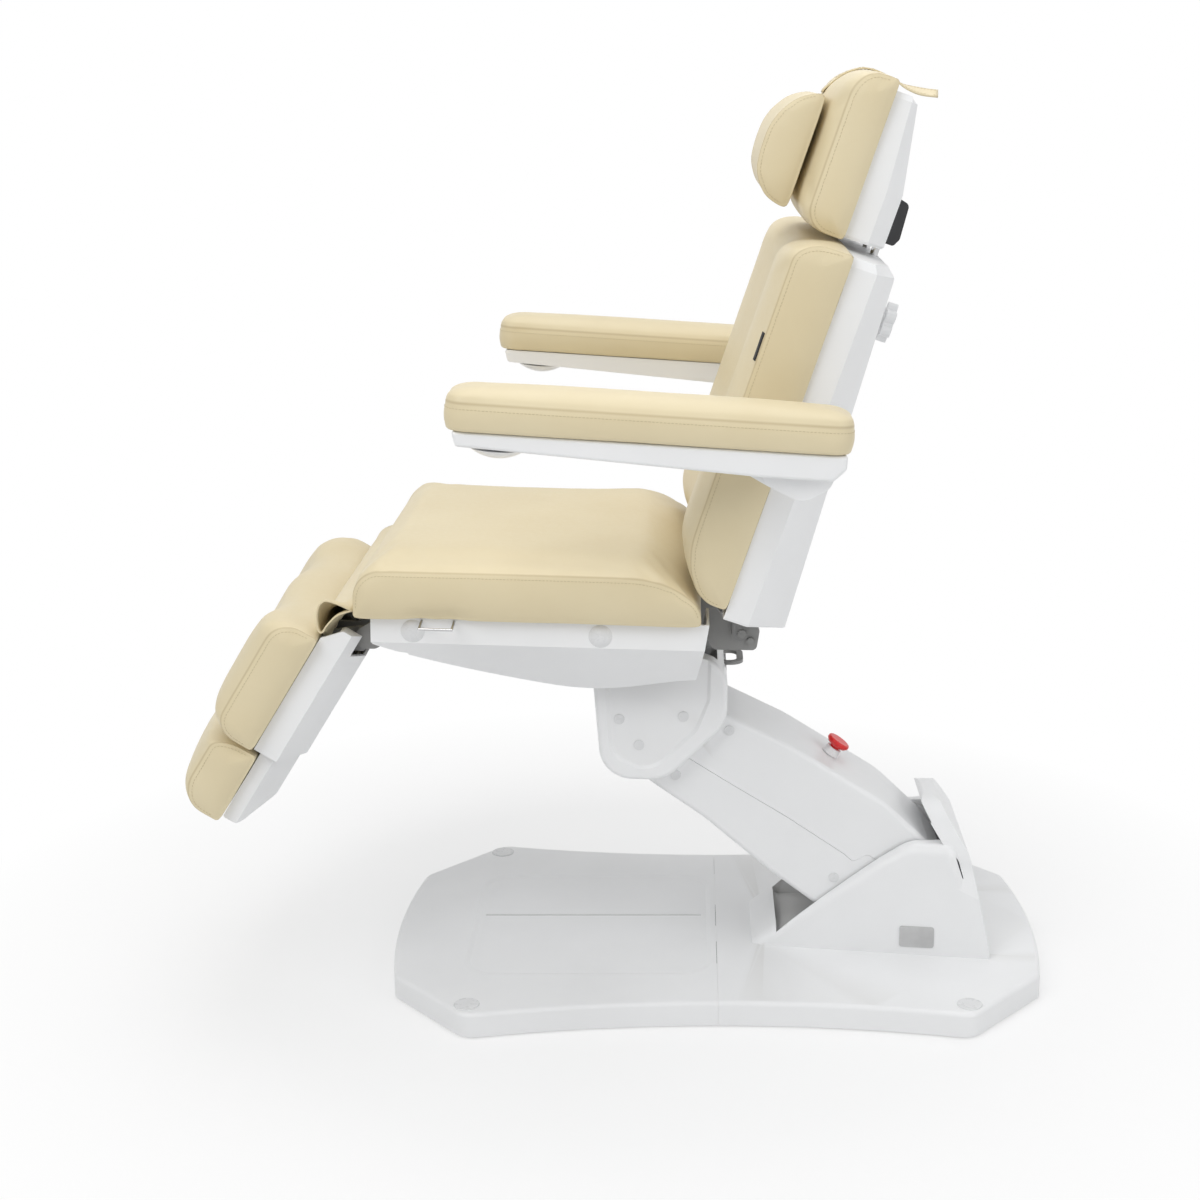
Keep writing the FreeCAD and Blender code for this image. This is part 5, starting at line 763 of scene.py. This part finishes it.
def gap_flap():
    """Slack vinyl between the seat's front and the legrest's upper end, turned back under itself.

    It sinks into the gap except at its near end, where the upper layer droops to the seat's lower edge.
    """
    knots = [(-521.5, 669.0), (-540.0, 670.0), (-558.0, 668.0), (-569.0, 659.0), (-573.0, 643.0),
             (-572.0, 625.0), (-567.0, 619.0), (-560.0, 629.0), (-546.0, 643.0), (-534.0, 649.0),
             (-521.5, 653.0)]
    turn_back = knots[5]
    half, thickness, columns, spacing = 262.0, 2.2, 53, 4.0
    upper_drop, lower_drop, end_droop, drawn_in, set_back = 24.0, 14.0, 16.0, 4.0, 0.15
    fold_share, fold_run, droop_share = 0.45, 0.3, 0.26
    near_end, droop_end, end_run = -0.97, -0.82, 0.14
    sway_height, waves_across, waves_along = 2.0, 5.0, 1.5
    line = smooth_line(knots, spacing)
    points = []
    for i, (x, z) in enumerate(line):
        share = i / (len(line) - 1)
        slack = math.sin(math.pi * share)
        folded = rise((share - fold_share) / fold_run)
        drop = (upper_drop + (lower_drop - upper_drop) * folded) * slack ** 0.5
        for t in np.linspace(-1.0, 1.0, columns):
            sway = sway_height * noise.noise(Vector((t * waves_across, share * waves_along, 0.0))) * slack
            sink = drop * rise((t - near_end) / end_run)
            droop = end_droop * rise((droop_end - t) / end_run) * max(0.0, 1.0 - share / droop_share)
            points.append((x + set_back * sink, z + sway - sink - droop, t * (half - drawn_in * slack)))
    flap = vinyl_sheet("gap_flap", WORLD.place(points), len(line), columns, thickness)
    ends = WORLD.place([(*knots[0], 0.0), (*turn_back, 0.0)])
    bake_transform(flap)


def groove_strip_and_shade():
    """Grey strip on the floor of the tread's groove: a non-slip strip, and painted shade that darkens the
    groove.
    """
    front, rear, middle, floor, half = -379.0, -24.0, 30.0, 47.2, 2.1
    points = [(front, floor, middle - half), (rear, floor, middle - half), (rear, floor, middle + half),
              (front, floor, middle + half)]
    liner = add_mesh("groove_strip_and_shade", WORLD.place(points), [(0, 1, 2, 3)])
    dress(liner, FINISHES["grey_plate"])
    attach(liner, "base")


def seam_tag(cushion):
    """Small blank woven tag sewn into the near side seam of the back."""
    tree = surface_tree(cushion)
    rows, columns, thickness, lift = 12, 7, 1.0, 0.9
    low, width, length = 413.0, 12.0, 40.0
    off_edge, off_seam = 8.5, 12.0
    points = []
    for u in np.linspace(low, low + length, rows):
        for offset in np.linspace(off_edge, off_edge + width, columns):
            guess = BACK.place([(u, BACK_SEAM + off_seam, offset - BACK_HALF)])[0]
            spot, facing, _, _ = tree.find_nearest(Vector(guess))
            points.append(spot + facing * (lift * MM))
    tag = thick_sheet("seam_tag", points, rows, columns, thickness)
    dress(tag, TAG_WEAVE)
    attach(tag, "back")


# Materials

def arithmetic(tree, operation, first, second):
    """Two values joined by one step of arithmetic."""
    node = tree.nodes.new("ShaderNodeMath")
    node.operation = operation
    tree.links.new(first, node.inputs[0])
    tree.links.new(second, node.inputs[1])
    return node.outputs[0]


def mixed_shaders(tree, share, first, second):
    """Two shaders mixed by a share of the second."""
    node = tree.nodes.new("ShaderNodeMixShader")
    for socket, value in zip(node.inputs, (share, first, second)):
        tree.links.new(value, socket)
    return node.outputs[0]


class Wiring:
    """A material under construction: adds nodes and joins them by socket name."""

    def __init__(self, name):
        self.material = bpy.data.materials.new(name)
        self.material.use_nodes = True
        self.tree = self.material.node_tree
        self.shader = self.tree.nodes["Principled BSDF"]
        self.output = self.tree.nodes["Material Output"]
        self.place = self.add("ShaderNodeTexCoord").outputs["Object"]

    def feed(self, socket, value):
        """Links an input to another node's output, or sets it. Colours are given without their alpha."""
        if isinstance(value, bpy.types.NodeSocket):
            self.tree.links.new(value, socket)
        elif socket.type == "RGBA":
            socket.default_value = (*value, 1.0)
        else:
            socket.default_value = value

    def join(self, node, **sockets):
        """Feeds a node's inputs, named with _ for each blank."""
        for key, value in sockets.items():
            self.feed(node.inputs[key.replace("_", " ")], value)

    def add(self, kind, settings=None, **sockets):
        """New node with its settings and its fed inputs."""
        node = self.tree.nodes.new(kind)
        for key, value in (settings or {}).items():
            setattr(node, key, value)
        self.join(node, **sockets)
        return node

    def noise(self, scale, detail=3.0, roughness=0.5, stretch=None):
        """Noise in the piece's own frame, finer along the axes that are stretched more."""
        place = self.place
        if stretch:
            place = self.add("ShaderNodeMapping", Vector=self.place, Scale=stretch).outputs["Vector"]
        node = self.add("ShaderNodeTexNoise", Vector=place, Scale=scale, Detail=detail, Roughness=roughness)
        return node.outputs[0]

    def cells(self, scale):
        """Rounded cells, as in a leather grain."""
        node = self.add("ShaderNodeTexVoronoi", {"feature": "SMOOTH_F1"}, Vector=self.place, Scale=scale,
                        Smoothness=0.4)
        return node.outputs["Distance"]

    def waves(self, direction, scale, distortion):
        """Bands across one direction."""
        node = self.add("ShaderNodeTexWave", {"bands_direction": direction}, Vector=self.place, Scale=scale,
                        Distortion=distortion)
        return node.outputs["Fac"]

    def ranged(self, value, read, gives=(0.0, 1.0)):
        """A value whose read range is spread over another one and held at its ends."""
        node = self.add("ShaderNodeMapRange", {"clamp": True}, Value=value, From_Min=read[0],
                        From_Max=read[1], To_Min=gives[0], To_Max=gives[1])
        return node.outputs["Result"]

    def mixed(self, share, first, second):
        """Two colours mixed by a share of the second."""
        node = self.add("ShaderNodeMix", {"data_type": "RGBA"})
        self.feed(node.inputs[0], share)
        colours = [s for s in node.inputs if s.type == "RGBA"]
        for socket, value in zip(colours, (first, second)):
            self.feed(socket, value)
        return [s for s in node.outputs if s.type == "RGBA"][0]

    def bump(self, height, strength, distance, under=None):
        """Relief from a height, on top of another relief if one is given."""
        node = self.add("ShaderNodeBump", Strength=strength, Distance=distance, Height=height)
        if under is not None:
            self.join(node, Normal=under)
        return node.outputs["Normal"]

    def bends(self, read):
        """How far the surface's bend goes through a range, from 0 to 1. Outward bends read above one half."""
        return self.ranged(self.add("ShaderNodeNewGeometry").outputs["Pointiness"], read)


def vinyl(name, light, dark, painted_seam_shade):
    """Upholstery vinyl: fine leather grain, slight mottling and painted shade along the seams' creases."""
    m = Wiring(name)
    tone = m.mixed(m.ranged(m.noise(scale=7.0, detail=4.0), read=(0.35, 0.68)), dark, light)
    seam = m.add("ShaderNodeAttribute", {"attribute_name": "seam_mm"}).outputs["Fac"]
    # painted shade: the colour darkens towards the seams, where shade falls in the creases
    tone = m.mixed(m.ranged(seam, read=(1.8, 0.2), gives=(0.0, 0.6)), tone, painted_seam_shade)
    rough = m.ranged(m.noise(scale=120.0, detail=5.0, roughness=0.6), read=(0.3, 0.7), gives=(0.40, 0.53))
    grain = m.bump(m.cells(scale=850.0), strength=0.16, distance=0.00035)
    pores = m.bump(m.noise(scale=2300.0, detail=2.0), strength=0.08, distance=0.0002, under=grain)
    soft = m.bump(m.noise(scale=36.0), strength=0.10, distance=0.0016, under=pores)
    m.join(m.shader, Base_Color=tone, Roughness=rough, Normal=soft, Specular_IOR_Level=0.42,
           Sheen_Weight=0.06, Sheen_Roughness=0.5)
    return m.material


def moulded(name, light, dark, hollow_dust_and_shade, roughness):
    """Moulded plastic: spark-eroded texture, faint flow mottling, a tone in hollows that is painted shade and
    dust, and light scuffs.
    """
    m = Wiring(name)
    tone = m.mixed(m.ranged(m.noise(scale=5.0, detail=4.0), read=(0.35, 0.65)), dark, light)
    # painted shade: hollows take a darker tone on the pale plastics, where shade falls; on black plastic and
    # rubber the tone is lighter, as dust
    hollows = m.bends(read=(0.49, 0.43))
    tone = m.mixed(m.ranged(hollows, read=(0.0, 1.0), gives=(0.0, 0.5)), tone, hollow_dust_and_shade)
    rough = m.ranged(m.noise(scale=60.0, detail=5.0, roughness=0.65), read=(0.3, 0.7), gives=roughness)
    scuffs = m.noise(scale=38.0, detail=6.0, roughness=0.7, stretch=(1.0, 1.0, 7.0))
    scuffs = m.ranged(scuffs, read=(0.62, 0.75), gives=(0.0, 0.12))
    texture = m.bump(m.noise(scale=1400.0), strength=0.06, distance=0.0002)
    flow = m.bump(m.noise(scale=14.0, detail=2.0), strength=0.03, distance=0.002, under=texture)
    m.join(m.shader, Base_Color=tone, Roughness=arithmetic(m.tree, "ADD", rough, scuffs), Normal=flow,
           Specular_IOR_Level=0.5)
    return m.material


def metal(name, light, dark, roughness, grain, stretch):
    """Bare or plated metal with drawn lines and handling marks."""
    m = Wiring(name)
    smudge = m.ranged(m.noise(scale=24.0, detail=5.0, roughness=0.6), read=(0.35, 0.7))
    rough = m.ranged(m.noise(scale=90.0, detail=6.0, roughness=0.7), read=(0.3, 0.7), gives=roughness)
    drawn = m.bump(m.noise(scale=700.0, detail=2.0, stretch=stretch), strength=grain, distance=0.0002)
    m.join(m.shader, Metallic=1.0, Base_Color=m.mixed(smudge, light, dark), Roughness=rough, Normal=drawn)
    return m.material


def coated(name, light, dark, edge_wear_and_highlight):
    """Powder coat with orange peel, lighter on its edges: rubbed-through wear and a painted highlight."""
    m = Wiring(name)
    tone = m.mixed(m.ranged(m.noise(scale=16.0, detail=4.0), read=(0.35, 0.68)), dark, light)
    # painted highlight: convex edges take a lighter tone, which also stands for rubbed-through wear
    edges = m.bends(read=(0.52, 0.6))
    tone = m.mixed(m.ranged(edges, read=(0.0, 1.0), gives=(0.0, 0.35)), tone, edge_wear_and_highlight)
    rough = m.ranged(m.noise(scale=110.0, detail=5.0), read=(0.3, 0.7), gives=(0.38, 0.55))
    peel = m.bump(m.noise(scale=520.0), strength=0.14, distance=0.0003)
    m.join(m.shader, Base_Color=tone, Roughness=rough, Normal=peel)
    return m.material


def woven(name, light, dark):
    """Narrow black tape: crossed yarns that show as a fine weave."""
    m = Wiring(name)
    warp = m.waves("X", scale=700.0, distortion=0.6)
    weft = m.waves("Z", scale=500.0, distortion=0.6)
    crossing = arithmetic(m.tree, "MULTIPLY", warp, weft)
    rough = m.ranged(crossing, read=(0.0, 1.0), gives=(0.85, 0.6))
    yarns = m.bump(crossing, strength=0.3, distance=0.0002)
    m.join(m.shader, Base_Color=m.mixed(crossing, dark, light), Roughness=rough, Normal=yarns)
    return m.material


def thread(name, light, dark):
    """Twisted sewing thread."""
    m = Wiring(name)
    twist = m.waves("DIAGONAL", scale=900.0, distortion=1.0)
    rough = m.ranged(m.noise(scale=300.0), read=(0.3, 0.7), gives=(0.55, 0.75))
    strands = m.bump(twist, strength=0.4, distance=0.0002)
    m.join(m.shader, Base_Color=m.mixed(twist, dark, light), Roughness=rough, Normal=strands)
    return m.material


# the darkest vinyl colour is painted shade along the seams' creases
VINYL = vinyl("cream_vinyl", light=(0.735, 0.64, 0.43), dark=(0.71, 0.61, 0.40), painted_seam_shade=(0.50, 0.40, 0.23))
THREAD = thread("cream_thread", light=(0.66, 0.57, 0.37), dark=(0.54, 0.45, 0.27))
TAG_WEAVE = woven("tag_weave", light=(0.03, 0.03, 0.032), dark=(0.008, 0.008, 0.009))
# each finish's hollow tone is painted shade on pale plastics and dust on dark ones
FINISHES = {
    "white_cover": moulded("white_cover", light=(0.86, 0.865, 0.87), dark=(0.83, 0.835, 0.84),
                           hollow_dust_and_shade=(0.60, 0.59, 0.56), roughness=(0.30, 0.44)),
    "cream_vinyl": VINYL,
    "frame_paint": coated("frame_paint", light=(0.155, 0.155, 0.15), dark=(0.12, 0.12, 0.118),
                          edge_wear_and_highlight=(0.4, 0.4, 0.4)),
    "steel": metal("steel", light=(0.60, 0.60, 0.59), dark=(0.47, 0.47, 0.46), roughness=(0.24, 0.42),
                   grain=0.2, stretch=(1.0, 14.0, 1.0)),
    "chrome": metal("chrome", light=(0.58, 0.58, 0.58), dark=(0.46, 0.46, 0.46), roughness=(0.05, 0.13),
                    grain=0.04, stretch=(1.0, 6.0, 1.0)),
    "black_plastic": moulded("black_plastic", light=(0.030, 0.031, 0.033), dark=(0.022, 0.022, 0.024),
                             hollow_dust_and_shade=(0.05, 0.05, 0.05), roughness=(0.36, 0.52)),
    "actuator_plastic": moulded("actuator_plastic", light=(0.13, 0.13, 0.135), dark=(0.10, 0.10, 0.105),
                                hollow_dust_and_shade=(0.07, 0.07, 0.07), roughness=(0.40, 0.55)),
    "red_plastic": moulded("red_plastic", light=(0.80, 0.022, 0.022), dark=(0.70, 0.016, 0.016),
                           hollow_dust_and_shade=(0.40, 0.01, 0.01), roughness=(0.25, 0.38)),
    "grey_plate": metal("grey_plate", light=(0.56, 0.56, 0.56), dark=(0.48, 0.48, 0.48),
                        roughness=(0.34, 0.48), grain=0.12, stretch=(14.0, 1.0, 1.0)),
    "foot_rubber": moulded("foot_rubber", light=(0.035, 0.035, 0.035), dark=(0.025, 0.025, 0.025),
                           hollow_dust_and_shade=(0.06, 0.06, 0.055), roughness=(0.7, 0.85)),
}
BRACKET_COAT = coated("bracket_coat", light=(0.20, 0.20, 0.19), dark=(0.155, 0.155, 0.15),
                      edge_wear_and_highlight=(0.42, 0.42, 0.42))
# painted shade: screw caps and domes are a darker grey than the covers round them, standing in for their
# shading
SHADE_DARKENED_CAP_PLASTIC = moulded("shade_darkened_cap_plastic", light=(0.745, 0.75, 0.755), dark=(0.715, 0.72, 0.725),
                      hollow_dust_and_shade=(0.60, 0.59, 0.56), roughness=(0.22, 0.34))
OWN_FINISHES = {
    "hinge_brackets": BRACKET_COAT,
    "swivel_lever": BRACKET_COAT,
    "arm_screw_caps": SHADE_DARKENED_CAP_PLASTIC,
    "head_screw_caps": SHADE_DARKENED_CAP_PLASTIC,
    "seat_screw_domes": SHADE_DARKENED_CAP_PLASTIC,
    "foot_caps": SHADE_DARKENED_CAP_PLASTIC,
}


def dress_solids():
    """Gives every solid of the part the finish that its record names, or its own shade of it."""
    for entry in frame["record"]["subparts"]:
        node = entry["node"]
        dress(NODES[node], OWN_FINISHES.get(node, FINISHES[entry["material_slot"]]))


# Studio

SEEN_RAYS = ("Is Camera Ray", "Is Glossy Ray", "Is Transmission Ray")


def seen(tree):
    """One for the rays that show a surface to the camera, also by way of mirrors and glass."""
    path = tree.nodes.new("ShaderNodeLightPath")
    found = path.outputs[SEEN_RAYS[0]]
    for ray in SEEN_RAYS[1:]:
        found = arithmetic(tree, "MAXIMUM", found, path.outputs[ray])
    return found


def floor_material():
    """Pale floor that fades to white away from the chair and keeps its shadow."""
    m = Wiring("studio_floor")
    tone = m.mixed(m.noise(scale=3.0), (0.90, 0.90, 0.90), (0.92, 0.92, 0.92))
    rough = m.ranged(m.noise(scale=9.0), read=(0.3, 0.7), gives=(0.6, 0.7))
    m.join(m.shader, Base_Color=tone, Roughness=rough)
    spread = m.add("ShaderNodeVectorMath", {"operation": "LENGTH"})
    m.feed(spread.inputs[0], m.place)
    far = m.ranged(spread.outputs["Value"], read=(0.6, 1.2), gives=(0.55, 1.0))
    white = m.add("ShaderNodeEmission", Strength=1.0, Color=(1.0, 1.0, 1.0))
    share = arithmetic(m.tree, "MULTIPLY", seen(m.tree), far)
    faded = mixed_shaders(m.tree, share, m.shader.outputs[0], white.outputs[0])
    m.join(m.output, Surface=faded)
    return m.material


def background(node, colour, strength):
    """Output of a world's background node with its colour and strength set."""
    node.inputs["Color"].default_value = (*colour, 1.0)
    node.inputs["Strength"].default_value = strength
    return node.outputs[0]


def studio():
    """Floor and the world's light, which the camera sees as white."""
    half = 8.0
    corners = [(-half, -half, 0.0), (half, -half, 0.0), (half, half, 0.0), (-half, half, 0.0)]
    floor = add_mesh("studio_floor", corners, [(0, 1, 2, 3)])
    dress(floor, floor_material())
    world = bpy.data.worlds.new("studio")
    bpy.context.scene.world = world
    world.use_nodes = True
    tree = world.node_tree
    lit = background(tree.nodes["Background"], colour=(0.98, 0.99, 1.0), strength=0.38)
    shown = background(tree.nodes.new("ShaderNodeBackground"), colour=(1.0, 1.0, 1.0), strength=1.0)
    mix = mixed_shaders(tree, seen(tree), lit, shown)
    tree.links.new(mix, tree.nodes["World Output"].inputs["Surface"])


def lamp(name, place, aim, size, energy):
    """Round area lamp, in metres, turned to a point."""
    data = bpy.data.lights.new(name, "AREA")
    data.shape = "DISK"
    data.size = size
    data.energy = energy
    lamp_object = bpy.data.objects.new(name, data)
    lamp_object.location = place
    lamp_object.rotation_mode = "QUATERNION"
    lamp_object.rotation_quaternion = (Vector(aim) - Vector(place)).to_track_quat("-Z", "Y")
    bpy.context.scene.collection.objects.link(lamp_object)


def camera():
    """Camera of the photograph."""
    data = bpy.data.cameras.new("photo_camera")
    data.lens = CAMERA_LENS
    data.sensor_width = CAMERA_SENSOR
    data.shift_x = CAMERA_SHIFT
    shot = bpy.data.objects.new("photo_camera", data)
    shot.location = Vector(CAMERA_PLACE) * MM
    shot.rotation_euler = (math.radians(90 - CAMERA_PITCH), 0.0, 0.0)
    bpy.context.scene.collection.objects.link(shot)
    bpy.context.scene.camera = shot


camera()
studio()
lamp("key_light", place=(-1.6, -2.2, 3.0), aim=(0.0, 0.0, 0.7), size=2.6, energy=54.0)
lamp("fill_light", place=(2.4, -1.8, 2.0), aim=(0.0, 0.0, 0.7), size=2.4, energy=25.0)
lamp("top_light", place=(0.2, 0.6, 3.4), aim=(0.0, 0.0, 0.6), size=2.8, energy=37.0)
bpy.context.scene.view_settings.view_transform = "Standard"

dress_solids()
seat_cushion()
back = back_cushion()
headrest = headrest_cushion()
leg_cushion()
foot_cushion()
neck_pillow()
armrest_pad(-1.0, "armrest_pad_left")
armrest_pad(1.0, "armrest_pad_right")
pillow_strap(headrest)
gap_flap()
groove_strip_and_shade()
seam_tag(back)
